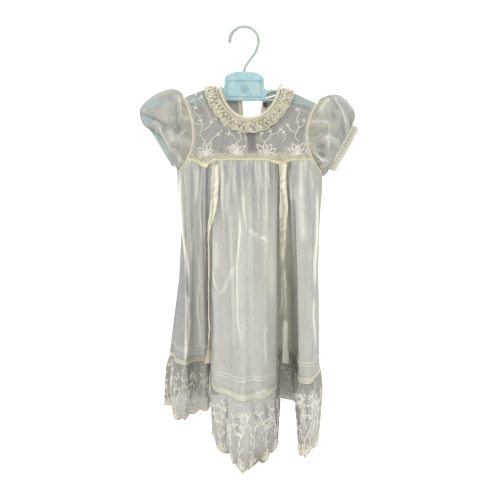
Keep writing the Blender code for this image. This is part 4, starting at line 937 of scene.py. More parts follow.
def skirtSurface():
    bandBottom = skirt["bandTop"] - skirt["bandHeight"]
    bandZ = skirt["bandTop"] - skirt["bandHeight"] * np.array(skirt["bandShares"])
    flounceZ = bandBottom + (skirt["hem"] - bandBottom) * flounceShares[1:]
    base, level = [], []
    for place in columnPlace:
        top, hem, bow = loopValues(place)
        z = np.concatenate([top[2] + (skirt["bandTop"] - top[2]) * skirtShares, bandZ, flounceZ])
        level.append(z)
        # the beading hangs lower where the middle fold comes forward
        forward = smoothStep(-30, -120, hem[1]) * (5 < place < 14) * (1 - 0.3 * bell(place, 8.3, 1.2))
        dip = skirt["dip"] * forward * smoothStep(-330, -545, z) * smoothStep(skirt["hem"], -575, z)
        base.append(hung(top, hem, bow, z - dip))
    base, level = np.stack(base, axis=1), np.stack(level, axis=1)
    normals = gridNormals(base, closed=True)
    z, body, flounce = base[..., 2], slice(None, skirtEnd), slice(bandEnd - 1, None)
    wave = gatherWave(columnNumbers)
    fade = np.interp(skirtShares, [0, .025, .075, .16, .3, .5, .74, 1.0], [.35, 1, 1.15, 1, .7, .4, .2, .12])
    out = np.zeros(z.shape)
    out[body] = fade[:, None] * wave * skirt["gatherSize"]
    out[skirtEnd:bandEnd] = 0.12 * wave * skirt["gatherSize"]
    # finer gathers under the yoke seam and above the beading
    fine = np.sin(2 * pi * columnNumbers / 1.27 + 0.8 * np.sin(columnNumbers * 0.9))
    topFade = bell(skirtShares, 0.05, 0.09) * smoothStep(0, 0.02, skirtShares)
    out[body] += topFade[:, None] * fine * 0.85
    # one seam line: nothing stands out along the armholes
    inArmhole = (columnPlace < 1) | (columnPlace > 31) | ((columnPlace > 19) & (columnPlace < 23))
    out[body] *= np.where(inArmhole, smoothStep(0.0, 0.06, skirtShares)[:, None], 1.0)
    share = flounceShares[:, None]
    out[flounce] = skirt["bulge"] * np.sin(pi * share ** 0.7) + wave * skirt["wave"] * share
    ruffle = np.sin(2 * pi * columnNumbers / 1.5 + 0.7 * np.sin(columnNumbers * 0.7))
    out[flounce] += bell(share, 0.12, 0.16) * smoothStep(0, 0.05, share) * ruffle * 0.7
    out[flounce] += smoothStep(0.5, 1.0, share) * np.sin(2 * pi * columnNumbers / 4.1 + 1.0) * 1.3
    # the listed creases
    creased = np.zeros(z.shape)
    for row in range(skirtEnd):
        height, length = z[row].mean(), runLength(base[row])
        for crease in creases:
            along = (crease.high - height) / (crease.high - crease.low)
            if 0 < along < 1:
                taper = math.sin(pi * along ** 0.75) ** 0.8
                centre = np.interp(crease.top + (crease.bottom - crease.top) * along, columnPlace, length)
                creased[row] += crease.depth * taper * bell(length, centre, crease.half)
    out += creased
    # long soft buckles, slightly different on every part of the cloth
    lean = columnNumbers * 2 * pi / 7.3 + z / 60.0
    out[body] += (0.45 * np.sin(lean) * np.sin(z / 47.0 + columnNumbers * 0.35))[body]
    tuckLift = sum(bell(level, tuck, 0.7) for tuck in skirt["tucks"]) * 0.45
    out[body] += tuckLift[body]
    outer = base + normals * out[..., None]
    paint = noPaint(outer)
    for rows, marks in ((body, skirtMiddleMarks + skirtLeftMarks + skirtRightMarks),
                        (slice(bandEnd, None), flounceMarks)):
        paint[rows], height = layMarks(outer[rows], normals[rows], marks)
        outer[rows] += normals[rows] * height[..., None]
    scallop = np.abs(np.sin(pi * columnNumbers / skirt["gather"])) ** 0.8
    outer[flounce, :, 2] -= share ** 5 * scallop * skirt["scallop"]
    return base, outer, paint, creased, tuckLift, out


base, skirtOuter, skirtMarked, creased, tuckLift, skirtLift = skirtSurface()
skirtNormals = gridNormals(skirtOuter, closed=True)
print("skirt surface", skirtOuter.shape)


def skirtPaint():
    # the marks, then painted shade and highlight on gathers and creases, the denser seams and tucks,
    # and painted shade and light in the valleys
    paint = skirtMarked.copy()
    cream, shade, brown = (paint[..., tint] for tint in range(3))
    x, z = skirtOuter[..., 0], skirtOuter[..., 2]
    fall = (gown["seam"] - z) / (gown["seam"] - skirt["hem"])
    place = np.broadcast_to(columnPlace, z.shape)
    # painted shade in the hollows of the gathers under the seam, painted highlight on their ridges
    shade += 0.6 * np.clip(-skirtLift / 1.6, 0, 1) * smoothStep(0.4, 0.0, fall)
    cream += 0.25 * np.clip(skirtLift / 1.6, 0, 1) * smoothStep(0.45, 0.0, fall)
    for centre, half in ((0.0, 0.045), (len(loop), 0.045), (frontRows, 0.05)):
        cream += 0.75 * bell(place, centre, half)  # side seams: a narrow felled strip each
    # painted highlight on crease ridges, cream for the tucks' folded cloth and just under the seam; then
    # painted shade in the crease troughs
    cream += (0.22 * np.clip(creased / 1.6, 0, 1) + 0.7 * np.clip(tuckLift, 0, 1)
              + 0.35 * smoothStep(0.04, 0.0, fall))
    shade += 0.45 * np.clip(-creased / 2.0, 0, 1)
    # the valleys beside the middle fold: painted shade, grey on the left and brown on the right, with
    # painted light lifting the right valley and the flounce under both sides; a little painted
    # shade on the far left; low down the middle and the right fold turn browner
    leftValley, rightValley = bell(place, 5.0, 0.8), bell(place, 14.0, 1.8)
    cream += 0.95 * rightValley * smoothStep(0.05, 0.3, fall) * smoothStep(0.86, 0.74, fall)
    cream += 0.35 * (rightValley + bell(place, 2.2, 1.4)) * smoothStep(0.8, 0.84, fall)
    shade += 0.12 * leftValley * smoothStep(0.0, 0.35, fall) + 0.2 * bell(place, 1.8, 1.6)
    brown += (0.25 * rightValley + 0.12 * leftValley) * smoothStep(0.1, 0.6, fall)
    brown += 0.35 * leftValley * smoothStep(0.76, 0.84, fall)
    brown += 0.25 * bell(place, 9.5, 3.0) * smoothStep(0.84, 1.0, fall)
    brown += 0.12 * bell(place, 17.5, 2.5) * smoothStep(0.5, 0.8, fall)
    # the left side panel, behind its seam, takes painted shade below
    seamX = np.interp(-z, [239, 295, 353, 397, 440, 557], [-106, -105, -100, -93, -89, -92])
    panel = smoothStep(2.0, -4.0, x - seamX) * smoothStep(-290, -400, z)
    shade += 0.95 * panel * ((place < 3) | (place > 30)) * (z > skirt["bandTop"])
    # yellowed toward the right of the middle fold and on the right one, and near the scallops
    brown += 0.2 * (bell(place, 11.0, 1.2) + 0.6 * bell(place, 17.5, 1.5)) * (1 - 0.3 * fall)
    brown += 0.22 * smoothStep(0.90, 1.0, fall)
    return paint


skirtColours = skirtPaint()
halves = {"Front": (0, frontFine, "front"), "Back": (frontFine, len(columnNumbers), "back")}


def makeSkirt():
    parts = {"skirt": (slice(0, skirtEnd), voile, 0.35, "voile"),
             "band": (slice(skirtEnd - 1, bandEnd), beadingNet, 0.6, "cream_binding"),
             "flounce": (slice(bandEnd - 1, None), flounceOrgandy, 0.4, "embroidered_organdy")}
    for name, (rows, material, thick, slot) in parts.items():
        for half, (first, last, node) in halves.items():
            columns = np.arange(first, last + 1) % len(columnNumbers)
            outer, facing, paint = (grid[rows][:, columns]
                                    for grid in (skirtOuter, skirtNormals, skirtColours))
            clothPiece(name + half, f"{name}_{node}", slot, outer, material, paint=paint,
                       inner=outer - facing * thick)


makeSkirt()
print("skirt, beading and flounce made")


# The yoke, front and back

yoke = {"shoulderSpans": 5, "neckSpans": 16, "finer": 6, "backSpans": 6, "rows": 76,
        "coarse": (0.0, 0.007, 0.035, 0.11, 0.27, 0.50, 0.75, 1.0)}
yokeShares = np.linspace(0.0, 1.0, yoke["rows"]) ** 1.5


def neckX(share):
    return gown["centreX"] - gown["neckHalf"] * np.cos(pi * np.asarray(share))


def neckHeight(share, front):
    rise = np.sin(pi * np.asarray(share))
    drop = gown["neckDropFront"] * rise ** gown["neckCurve"] if front else gown["neckDropBack"] * rise
    return ridge(neckX(share)) - drop


def neckShare(x):
    return math.acos((gown["centreX"] - x) / gown["neckHalf"]) / pi


def yokeGrid(topX, seamX, front, left=None, right=None, shares=yokeShares):
    inNeck = np.abs(topX - gown["centreX"]) < gown["neckHalf"] - 1e-6
    share = np.arccos(np.clip((gown["centreX"] - topX) / gown["neckHalf"], -1, 1)) / pi
    topZ = np.where(inNeck, neckHeight(share, front), ridge(topX))
    across = np.linspace(0.0, 1.0, len(topX))
    rows = []
    for v in shares:
        z = topZ + (gown["seam"] - topZ) * v
        x = topX + (seamX - topX) * v
        if left:
            x = x + (armholeX(left, z[0]) - x[0]) * (1 - across) ** 2
        if right:
            x = x + (armholeX(right, z[-1]) - x[-1]) * across ** 2
        rows.append(onBodice(x, z, front))
    return np.stack(rows)


# soft lines in the yoke's cloth: both ends, height and half width
Line = namedtuple("Line", "x1 z1 x2 z2 depth half")
yokeFrontLines = [Line(*row) for row in ((-96, -140, -58, -214, 1.1, 5), (-84, -132, -44, -196, -0.9, 5),
    (-60, -128, -30, -200, 0.8, 6), (-76, -206, -20, -222, -0.8, 4), (-40, -182, 2, -219, 0.7, 5),
    (8, -176, 14, -224, -0.8, 6), (26, -172, 20, -216, 0.7, 4), (60, -150, 32, -214, -0.8, 6),
    (82, -136, 62, -208, 0.9, 5), (112, -146, 78, -216, -1.1, 5), (96, -130, 88, -186, 0.8, 4),
    (44, -204, 94, -222, 0.7, 4))]
yokeBackLines = [Line(*row) for row in ((-92, -136, -50, -210, 1, 6), (-70, -126, -24, -204, -0.9, 5),
    (-40, -122, -10, -190, 0.7, 5), (-80, -210, -20, -222, 0.7, 4), (58, -124, 36, -206, 0.9, 6),
    (84, -134, 58, -214, -0.9, 5), (112, -150, 82, -218, 1, 5), (40, -130, 26, -196, -0.7, 4))]


def lineField(grid, lines):
    x, z = grid[..., 0], grid[..., 2]
    field = np.zeros(x.shape)
    for line in lines:
        spanX, spanZ = line.x2 - line.x1, line.z2 - line.z1
        length = math.hypot(spanX, spanZ)
        along = ((x - line.x1) * spanX + (z - line.z1) * spanZ) / length ** 2
        aside = ((x - line.x1) * spanZ - (z - line.z1) * spanX) / length + 2.0 * np.sin(2.6 * along + line.x1)
        field += line.depth * np.sin(pi * np.clip(along, 0, 1)) ** 0.7 * bell(aside, 0, line.half)
    return field


def edgeCalm(shape, rowsIn=4, columnsIn=4):
    # nothing moves at the seams
    r, c = np.arange(shape[0])[:, None], np.arange(shape[1])[None, :]
    edge = np.minimum(np.minimum(r, shape[0] - 1 - r) / rowsIn, np.minimum(c, shape[1] - 1 - c) / columnsIn)
    return smoothStep(0, 1, edge)


def wrinkled(grid, lines, seed, facing=1.0):
    x, z = grid[..., 0], grid[..., 2]
    soft = 0.25 * (noiseLine(x * 0.10 + z * 0.05, seed) + noiseLine(z * 0.13 - x * 0.04, seed + 1)) * 0.6
    field = (lineField(grid, lines) + soft) * edgeCalm(x.shape)
    return lifted(grid, facing * field), field


def yokePaint(grid, field, edges):
    paint = noPaint(grid)
    cream, shade = paint[..., 0], paint[..., 1]
    columns = np.arange(grid.shape[1])
    for edge in edges:
        cream += 0.5 * smoothStep(3, 0, columns if edge == "left" else columns[::-1])
    cream += 0.8 * smoothStep(gown["seam"] + 3.2, gown["seam"] + 0.5, grid[..., 2])
    # painted highlight on the ridges of the yoke's soft lines, painted shade in their troughs
    cream += 0.10 * np.clip(field / 1.2, 0, 1)
    shade += 0.35 * np.clip(-field / 1.1, 0, 1)
    return paint


def makeYokeFront():
    left, right = armholes["left"].topX, armholes["right"].topX
    neckLeft, neckRight = gown["centreX"] - gown["neckHalf"], gown["centreX"] + gown["neckHalf"]

    def grid(finer, shares):
        necks = neckX(np.linspace(0, 1, yoke["neckSpans"] * finer + 1))
        topX = np.concatenate([np.linspace(left, neckLeft, yoke["shoulderSpans"] * finer + 1)[:-1], necks,
                               np.linspace(neckRight, right, yoke["shoulderSpans"] * finer + 1)[1:]])
        seamX = np.interp(topX, [left, right], [cornerX["left"], cornerX["right"]])
        return yokeGrid(topX, seamX, True, "left", "right", shares)

    outer, field = wrinkled(grid(yoke["finer"], yokeShares), yokeFrontLines, 5)
    marked, height = layMarks(outer, gridNormals(outer), yokeMarks)
    outer = lifted(outer, height * edgeCalm(height.shape))
    clothPiece("yokeFront", "yoke_front", "embroidered_organdy", outer, yokeOrgandy,
               paint=yokePaint(outer, field, ("left", "right")) + marked)
    return outer, grid(1, yoke["coarse"])


def makeYokeBack():
    outers, coarse = {}, {}
    for side, opening, inward in (("left", gown["openLeft"], 1), ("right", gown["openRight"], -1)):
        armX, turn = armholes[side].topX, slice(None, None, inward)
        neckEnd = gown["centreX"] - inward * gown["neckHalf"]
        edgeTop, edgeSeam = (value - inward * gown["placket"] for value in opening)

        def grid(finer, shares):
            necks = np.linspace(neckShare(neckEnd + inward * 0.001), neckShare(edgeTop),
                                yoke["backSpans"] * finer + 1)
            topX = np.concatenate([np.linspace(armX, neckEnd, yoke["shoulderSpans"] * finer + 1)[:-1],
                                   neckX(necks)])
            seamX = cornerX[side] + (edgeSeam - cornerX[side]) * (topX - armX) / (edgeTop - armX)
            return yokeGrid(topX[turn], seamX[turn], False, shares=shares, **{side: side})

        made, field = wrinkled(grid(yoke["finer"], yokeShares), yokeBackLines, 8, facing=-1.0)
        outers[side], coarse[side] = made, grid(1, yoke["coarse"])
        clothPiece(f"yokeBack{side.title()}", f"yoke_back_{side}", "embroidered_organdy", made[:, ::-1],
                   yokeBackOrgandy, paint=yokePaint(made, field, (side,))[:, ::-1])

        strip = yokeGrid(np.linspace(edgeTop, opening[0], 13)[turn],
                         np.linspace(edgeSeam, opening[1], 13)[turn], False)
        ripple = 0.25 * noiseLine(strip[..., 2] * 0.35, 21 + len(side)) * edgeCalm(strip.shape[:2], 4, 2)
        strip = lifted(strip, -ripple)[:, ::-1]
        paint = noPaint(strip)
        paint[..., 0] = 0.5
        clothPiece(f"placket{side.title()}", f"placket_{side}", "cream_binding", strip, creamBinding, 0.9,
                   paint=paint)
    return outers, coarse


yokeOuter, yokeFrontCoarse = makeYokeFront()
yokeBackOuter, yokeBackCoarse = makeYokeBack()
print("yoke made")


# Neckband and lace collar

collar = {"width": 19.0, "wave": 0.9, "scallop": 2.0, "gathers": (14, 3), "finer": 6, "rows": 16}
CollarRow = namedtuple("CollarRow", "share lift size")
collarRows = [CollarRow(0.02, 1.9, 0.0), CollarRow(0.36, 3.4, 0.5), CollarRow(0.70, 4.3, 0.85),
              CollarRow(1.0, 5.0, 1.0)]
neckband = {"rise": 7.0, "sideLess": 2.5, "lean": (1.5, 6.0), "gap": (0.9, 0.7), "tipRise": 5.0,
            "tipHalf": 11.0, "tipUpright": 0.75, "spans": (96, 36), "rows": 10, "thick": 0.9}


def neckLoop(frontSpans, backSpans):
    leftShare, rightShare = neckShare(gown["openLeft"][0]), neckShare(gown["openRight"][0])
    return np.concatenate([onBodice(neckX(shares), neckHeight(shares, front), front) for shares, front in (
        (np.linspace(leftShare, 0.0, backSpans + 1)[:-1], False),
        (np.linspace(0.0, 1.0, frontSpans + 1), True),
        (np.linspace(1.0, rightShare, backSpans + 1)[1:], False))])


def makeNeckband():
    seam = neckLoop(*neckband["spans"])
    away = seam[:, :2] - np.array([gown["centreX"], 0.0])
    sideways = (np.abs(away[:, 0]) / gown["neckHalf"]) ** 2
    tip = (bell(seam[:, 0], gown["centreX"] + gown["neckHalf"], neckband["tipHalf"])
           * bell(seam[:, 1], 0, neckband["tipHalf"]))
    lean = (neckband["lean"][0] + neckband["lean"][1] * sideways) * (1 - neckband["tipUpright"] * tip)
    top = seam.copy()
    top[:, :2] -= unit(away) * lean[:, None]
    top[:, 2] += neckband["rise"] - neckband["sideLess"] * sideways + neckband["tipRise"] * tip
    foot = seam - unit(seam - top) * (neckband["gap"][0] + neckband["gap"][1] * sideways)[:, None]
    share = np.linspace(0.0, 1.0, neckband["rows"])[:, None]
    outer = top + (foot - top) * share[..., None]
    swell = np.sin(pi * share) ** 0.6 * 0.35
    ripple = 0.18 * noiseLine(np.arange(len(seam)) * 0.22, 31) * np.sin(pi * share)
    facing = gridNormals(outer)
    outer = lifted(outer, swell + ripple)
    paint = noPaint(outer)
    paint[..., 0] = 0.4 * np.cos(2 * pi * share) ** 2
    clothPiece("neckBinding", "neckband", "cream_binding", outer, creamBinding, paint=paint,
               inner=outer - facing * neckband["thick"])
    return outer


def makeCollar():
    finer = collar["finer"]
    seam = neckLoop(*(count * skirt["gather"] * finer for count in collar["gathers"]))
    along = np.gradient(seam, axis=0)
    side = np.where(seam[:, 1] > 0.0, -1.0, 1.0)
    direction = unit(np.stack([along[:, 2], -along[:, 0]], axis=1)) * side[:, None]
    numbers = np.arange(len(seam)) / finer
    scallop = np.abs(np.sin(pi * numbers / skirt["gather"])) ** 0.7
    rows = []
    table = np.array(collarRows)
    shares = np.linspace(collarRows[0].share, 1.0, collar["rows"])
    for share in shares:
        reach = collar["width"] * share + scallop * collar["scallop"] * share ** 4
        x = seam[:, 0] + direction[:, 0] * reach
        z = np.minimum(seam[:, 2] + direction[:, 1] * reach, ridge(x))
        rows.append(np.stack([x, -bodiceDepth(x, z) * side, z], axis=1))
    lift, size = smoothCurve(table[:, 0], table[:, 1:], shares).T[..., None]
    fine = 0.35 * np.sin(2 * pi * numbers / 1.1) * np.sin(pi * shares)[:, None]
    outer = lifted(np.stack(rows), lift + size * gatherWave(numbers) * collar["wave"] + fine)
    clothPiece("laceCollar", "lace_collar", "cream_lace", outer, collarLace, 0.4)
    return outer


neckbandOuter = makeNeckband()
collarOuter = makeCollar()
print("neckband and collar made")


# The yoke's scalloped edging, lying over the top of the skirt

edging = {"up": (9.0, 4.0), "lift": (1.4, 1.7, 2.6, 3.6), "knots": (0.0, 0.32, 0.6, 1.0), "lines": 330,
          "start": 0.4, "gap": 0.3, "rows": 14}
edgeDrops = [(-92, 0.6), (-80, 1.5), (-74, 6), (-69, 10.5), (-63, 12), (-56, 9.5), (-50, 4), (-46, 2),
             (38, 2.5), (46, 6), (57, 8.5), (69, 5.5), (78, 2), (112, 1)]


def makeEdging():
    first, last = skirt["frontColumns"][0], skirt["frontColumns"][0] + skirt["frontColumns"][1]
    seam = gown["seam"]
    lines = []
    for column in np.linspace(first + edging["start"], last - edging["start"], edging["lines"]):
        place = float(placeAt(column))
        x = loopValues(place)[0][0]
        hang = float(np.interp(x, *zip(*edgeDrops))) + 0.5 * abs(math.sin(x * 0.42))
        points = [(x, -float(bodiceDepth(x, seam + up)), seam + up) for up in edging["up"]]
        lines.append(points + [skirtPoint(place, seam - edging["gap"] * (n + 1) - hang * n) for n in (0, 1)])
    rough = np.array(lines).transpose(1, 0, 2)
    rough = rough + gridNormals(rough) * np.array(edging["lift"])[:, None, None]
    down = np.linspace(0.0, 1.0, edging["rows"])
    outer = smoothCurve(edging["knots"], rough.reshape(4, -1), down).reshape(len(down), -1, 3)
    down = down[:, None]
    outer = lifted(outer, 0.3 * noiseLine(outer[..., 0] * 0.21, 41) * down ** 1.5)
    paint = noPaint(outer)
    x = outer[..., 0]
    strong = bell(x, -63, 9) + bell(x, -4, 16) + 0.9 * bell(x, 58, 12)
    paint[..., 0] = smoothStep(0.66, 0.95, down) * (0.55 + 0.45 * strong)
    paint[..., 2] = 0.5 * smoothStep(0.3, 0.5, down) * smoothStep(0.8, 0.6, down) * strong
    clothPiece("yokeEdging", "yoke_edging", "cream_edging", outer, yellowedEdging, paint=paint)
    return outer


edgingOuter = makeEdging()
print("edging made")


# Sleeves: how far each station stands off the straight line from armhole to cuff, along
# the top, the front and the underside; "out" is away from the body

Station = namedtuple("Station", "along topOut topUp sideOut sidePuff sideUp underOut underUp")
sleeveStations = {side: [Station(*row) for row in rows] for side, rows in {
    "left": ((0, 0, 0, 0, 0, 0, 0, 0), (0.07, 2, 11, 2, 4, 0, 0, 1), (0.18, 8, 21, 4, 11, 2, 0, 1),
        (0.35, 24, 23, 9, 16, 4, 1, 1), (0.54, 38, 15, 14, 17, 3, 1, 1), (0.72, 40, 7, 12, 13, 1, 1, 1),
        (0.86, 25, -8, 8, 8, 0, 0, 0), (1, 0, 0, 0, 0, 0, 0, 0)),
    "right": ((0, 0, 0, 0, 0, 0, 0, 0), (0.07, 1, 9, 2, 4, 0, 0, 0), (0.18, 5, 18, 3, 12, 3, 1, -1),
        (0.35, 8, 26, 5, 20, 6, 3, -2), (0.54, 10, 27, 7, 22, 6, 3, -3), (0.72, 11, 22, 7, 19, 5, 3, -3),
        (0.88, 9, 13, 4, 11, 2, 1, -2), (1, 0, 0, 0, 0, 0, 0, 0))}.items()}
Cuff = namedtuple("Cuff", "innerX innerZ outerX outerZ tilt halfLong halfDeep inside")
cuffs = {"left": Cuff(-131.0, -196.5, -139.5, -205.5, -31.0, 36.5, 19.0, 1.7),
         "right": Cuff(163.0, -201.0, 174.5, -207.5, 29.5, 43.0, 16.0, 1.4)}
sleeve = {"gap": 0.5, "crease": 9.0, "creaseAngle": 1.25, "creaseHalf": 0.22, "gather": 1.2, "middle": 0.25,
          "reach": (0.16, 0.20), "finer": 5, "rows": 84, "thick": 0.35, "cuffThick": 0.9, "cuffRows": 12,
          "markHalf": 0.85, "markHeight": 0.6}
sleeveMarks = {"left": sleeveLeftMarks, "right": sleeveRightMarks}
sleeveMarkStrength = {"light": 1.0, "dark": 2.3, "brown": 1.5, "warm": 1.5, "teal": 1.5}

# the folds: angle round the sleeve from the top towards the front, where along it
# they start and end, the angle they drift by, depth, half width in radians
SleeveFold = namedtuple("SleeveFold", "angle start end drift depth half")
sleeveFolds = {side: [SleeveFold(*row) for row in rows] for side, rows in {
    "left": ((0.45, 0.02, 0.55, 0.25, -2.4, 0.1), (0.75, 0.05, 0.5, 0.3, 1.8, 0.12),
        (1.05, 0.02, 0.42, 0.2, -2, 0.09), (1.55, 0.05, 0.98, -0.25, -2.2, 0.12),
        (1.85, 0.03, 0.6, -0.1, 1.8, 0.11), (2.1, 0.1, 0.98, -0.15, -1.9, 0.1),
        (2.45, 0.02, 0.7, 0.05, 1.6, 0.12), (2.75, 0.2, 0.99, -0.1, -1.7, 0.12),
        (0.15, 0.1, 0.8, 0.12, 1.5, 0.12), (0.95, 0.55, 0.99, 0.1, -1.8, 0.1),
        (0.6, 0.6, 0.99, 0.05, 1.4, 0.1), (1.3, 0.62, 0.99, 0.02, 1.6, 0.09),
        (-0.35, 0.02, 0.6, -0.15, -1.9, 0.12), (-0.8, 0.05, 0.75, -0.2, 1.6, 0.14),
        (-1.25, 0.02, 0.55, -0.1, -2, 0.12), (-1.7, 0.3, 0.99, 0.1, -1.8, 0.12),
        (-2.15, 0.02, 0.6, 0.1, 1.6, 0.12), (-2.6, 0.15, 0.98, 0.05, -1.7, 0.13)),
    "right": ((0.3, 0.02, 0.6, 0.2, -2, 0.1), (0.62, 0.3, 0.99, 0.2, -2.4, 0.09),
        (0.85, 0.05, 0.8, 0.25, 1.8, 0.12), (1.1, 0.02, 0.4, 0.15, -2.2, 0.1),
        (1.35, 0.02, 0.75, 0.05, 1.9, 0.11), (1.6, 0.02, 0.55, -0.05, -2.3, 0.09),
        (1.85, 0.1, 0.98, -0.05, 1.6, 0.1), (2.05, 0.02, 0.62, -0.1, -2, 0.09),
        (2.35, 0.05, 0.98, -0.12, 1.7, 0.12), (2.62, 0.02, 0.55, -0.1, -1.9, 0.1),
        (1.25, 0.6, 0.99, 0.02, -1.9, 0.09), (1.05, 0.72, 0.99, 0, 1.4, 0.08),
        (0.05, 0.05, 0.7, 0.1, 1.6, 0.12), (2.9, 0.2, 0.98, 0, -1.5, 0.12),
        (-0.3, 0.02, 0.6, -0.15, -1.9, 0.11), (-0.75, 0.05, 0.75, -0.2, 1.7, 0.13),
        (-1.2, 0.02, 0.6, -0.1, -2.1, 0.11), (-1.65, 0.3, 0.99, 0.1, -1.8, 0.12),
        (-2.1, 0.02, 0.6, 0.1, 1.6, 0.12), (-2.55, 0.15, 0.98, 0.05, -1.7, 0.12))}.items()}


def armholeRing(side):
    edge, a, c = (0 if side == "left" else -1), skirt["frontColumns"][0], skirt["backColumns"][0]
    front, back = yokeFrontCoarse[:, edge], yokeBackCoarse[side][:, edge]
    numbers = (range(a, -1 - skirt["backColumns"][2], -1) if side == "left"
               else range(frontCount - a, frontCount + c + 1))
    under = [base[0, int(np.argmin(np.abs(columnNumbers - n % totalCount)))] for n in numbers]
    ring = np.concatenate([front[:-1], np.array(under), back[:-1][::-1]])[:-1]
    top, bottom = armholes[side].topZ, armholes[side].underZ
    turns = np.arctan2(-ring[:, 1] / gown["depth"], (ring[:, 2] - (top + bottom) / 2) / ((top - bottom) / 2))
    return ring, np.unwrap(turns)


def roundCurve(values, finer, span=0.0):
    # points between the given ones of a closed ring, on a smooth curve
    values = np.asarray(values, float)
    shape, count = (-1,) + (1,) * (values.ndim - 1), len(values)
    at = np.arange(count * finer) / finer
    row, t = at.astype(int), (at % 1).reshape(shape)
    before, start, end, after = (values[(row + step) % count] + span * ((row + step) // count).reshape(shape)
                                 for step in (-1, 0, 1, 2))
    return 0.5 * (2 * start + (end - before) * t + (2 * before - 5 * start + 4 * end - after) * t ** 2
                  + (3 * start - before - 3 * end + after) * t ** 3)


def cuffRing(side, angles, share, inside=0.0):
    cuff = cuffs[side]
    tilt = math.radians(cuff.tilt)
    centre = np.array([cuff.innerX + (cuff.outerX - cuff.innerX) * share, 0.0,
                       cuff.innerZ + (cuff.outerZ - cuff.innerZ) * share])
    up = np.array([math.sin(tilt), 0.0, math.cos(tilt)])
    return (centre + np.cos(angles)[:, None] * up * (cuff.halfLong - inside)
            + np.sin(angles)[:, None] * np.array([0.0, inside - cuff.halfDeep, 0.0]))


def railMix(top, front, under, back, angles):
    return ((top + under + front + back) / 4 + np.cos(angles)[:, None] * (top - under) / 2
            + np.sin(angles)[:, None] * (front - back) / 2
            + np.cos(2 * angles)[:, None] * (top + under - front - back) / 4)


def sleeveGrid(side, outwards, alongs):
    ring, angles = armholeRing(side)
    span = round((angles[-1] - angles[0]) / (2 * pi)) * 2 * pi
    ring = roundCurve(ring, 2 * sleeve["finer"]) + np.array([outwards * sleeve["gap"], 0.0, 0.0])
    angles = roundCurve(angles, 2 * sleeve["finer"], span)
    table = np.array(sleeveStations[side], float)
    cuff = cuffRing(side, angles, 0.0)
    rows = []
    for along, row in zip(alongs, smoothCurve(table[:, 0], table, alongs)):
        station = Station(*row)
        top = np.array([station.topOut * outwards, 0.0, station.topUp])
        front = np.array([station.sideOut * outwards, -station.sidePuff, station.sideUp])
        under = np.array([station.underOut * outwards, 0.0, station.underUp])
        back = front * np.array([1, -1, 1])
        rows.append(ring + (cuff - ring) * along + railMix(top, front, under, back, angles))
        if side == "left":
            rows[-1][:, 1] += (sleeve["crease"] * bell(angles, sleeve["creaseAngle"], sleeve["creaseHalf"])
                               * math.sin(pi * along) ** 2)
    return np.stack(rows), angles


def makeSleeve(side):
    outwards = -1.0 if side == "left" else 1.0
    alongs = 0.5 - 0.5 * np.cos(pi * np.linspace(0.0, 1.0, sleeve["rows"]))
    grid, angles = sleeveGrid(side, outwards, alongs)
    down = alongs[:, None]
    normals = -gridNormals(grid, closed=True) * outwards
    numbers = np.arange(grid.shape[1]) / sleeve["finer"]
    near = [bell(gone, 0, reach) for gone, reach in zip((down, 1 - down), sleeve["reach"])]
    gathers = gatherWave(numbers) * (sleeve["middle"] + np.maximum(*near)) * sleeve["gather"]
    fine = np.sin(2 * pi * numbers / 1.31 + 0.9 * np.sin(numbers * 0.8))
    gathers = gathers + fine * (0.7 * near[0] + 0.8 * near[1])
    folds = np.zeros(grid.shape[:2])
    for fold in sleeveFolds[side]:
        share = (down - fold.start) / (fold.end - fold.start)
        taper = np.where((share > 0) & (share < 1), np.sin(pi * np.clip(share, 0, 1) ** 0.8) ** 0.8, 0.0)
        away = (angles - fold.angle - fold.drift * share + pi) % (2 * pi) - pi
        folds += fold.depth * taper * bell(away, 0, fold.half)
    soft = 0.35 * np.sin(3 * angles + 9 * down) * np.sin(7 * down + angles)
    ends = smoothStep(0.0, 0.05, down) * smoothStep(1.0, 0.95, down)
    outer = grid + normals * ((gathers + folds + soft) * ends)[..., None]
    paint, height = layMarks(outer, normals, [
        mark._replace(amount=sleeveMarkStrength[mark.kind] * mark.amount, half=sleeve["markHalf"] * mark.half)
        for mark in sleeveMarks[side]])
    outer = outer + normals * (sleeve["markHeight"] * height * ends)[..., None]
    cream, shade, brown = (paint[..., tint] for tint in range(3))
    # cream at the armhole seam and painted highlight on the ridges of folds and gathers, painted shade in
    # their hollows, and browner towards the armhole
    cream += (0.35 * smoothStep(0.02, 0.0, down) + 0.16 * np.clip(folds / 2.0, 0, 1)
              + 0.3 * np.clip(gathers / 1.5, 0, 1))
    shade += 0.45 * np.clip(-folds / 2.2, 0, 1) + 0.5 * np.clip(-gathers / 1.5, 0, 1)
    brown += 0.3 * smoothStep(0.3, 0.05, down)
    clothPiece(f"sleeve{side.title()}", f"sleeve_{side}", "voile", outer, sleeveVoile, closed=True,
               paint=paint, inner=outer + gridNormals(outer, closed=True) * outwards * sleeve["thick"])
    return grid[0]


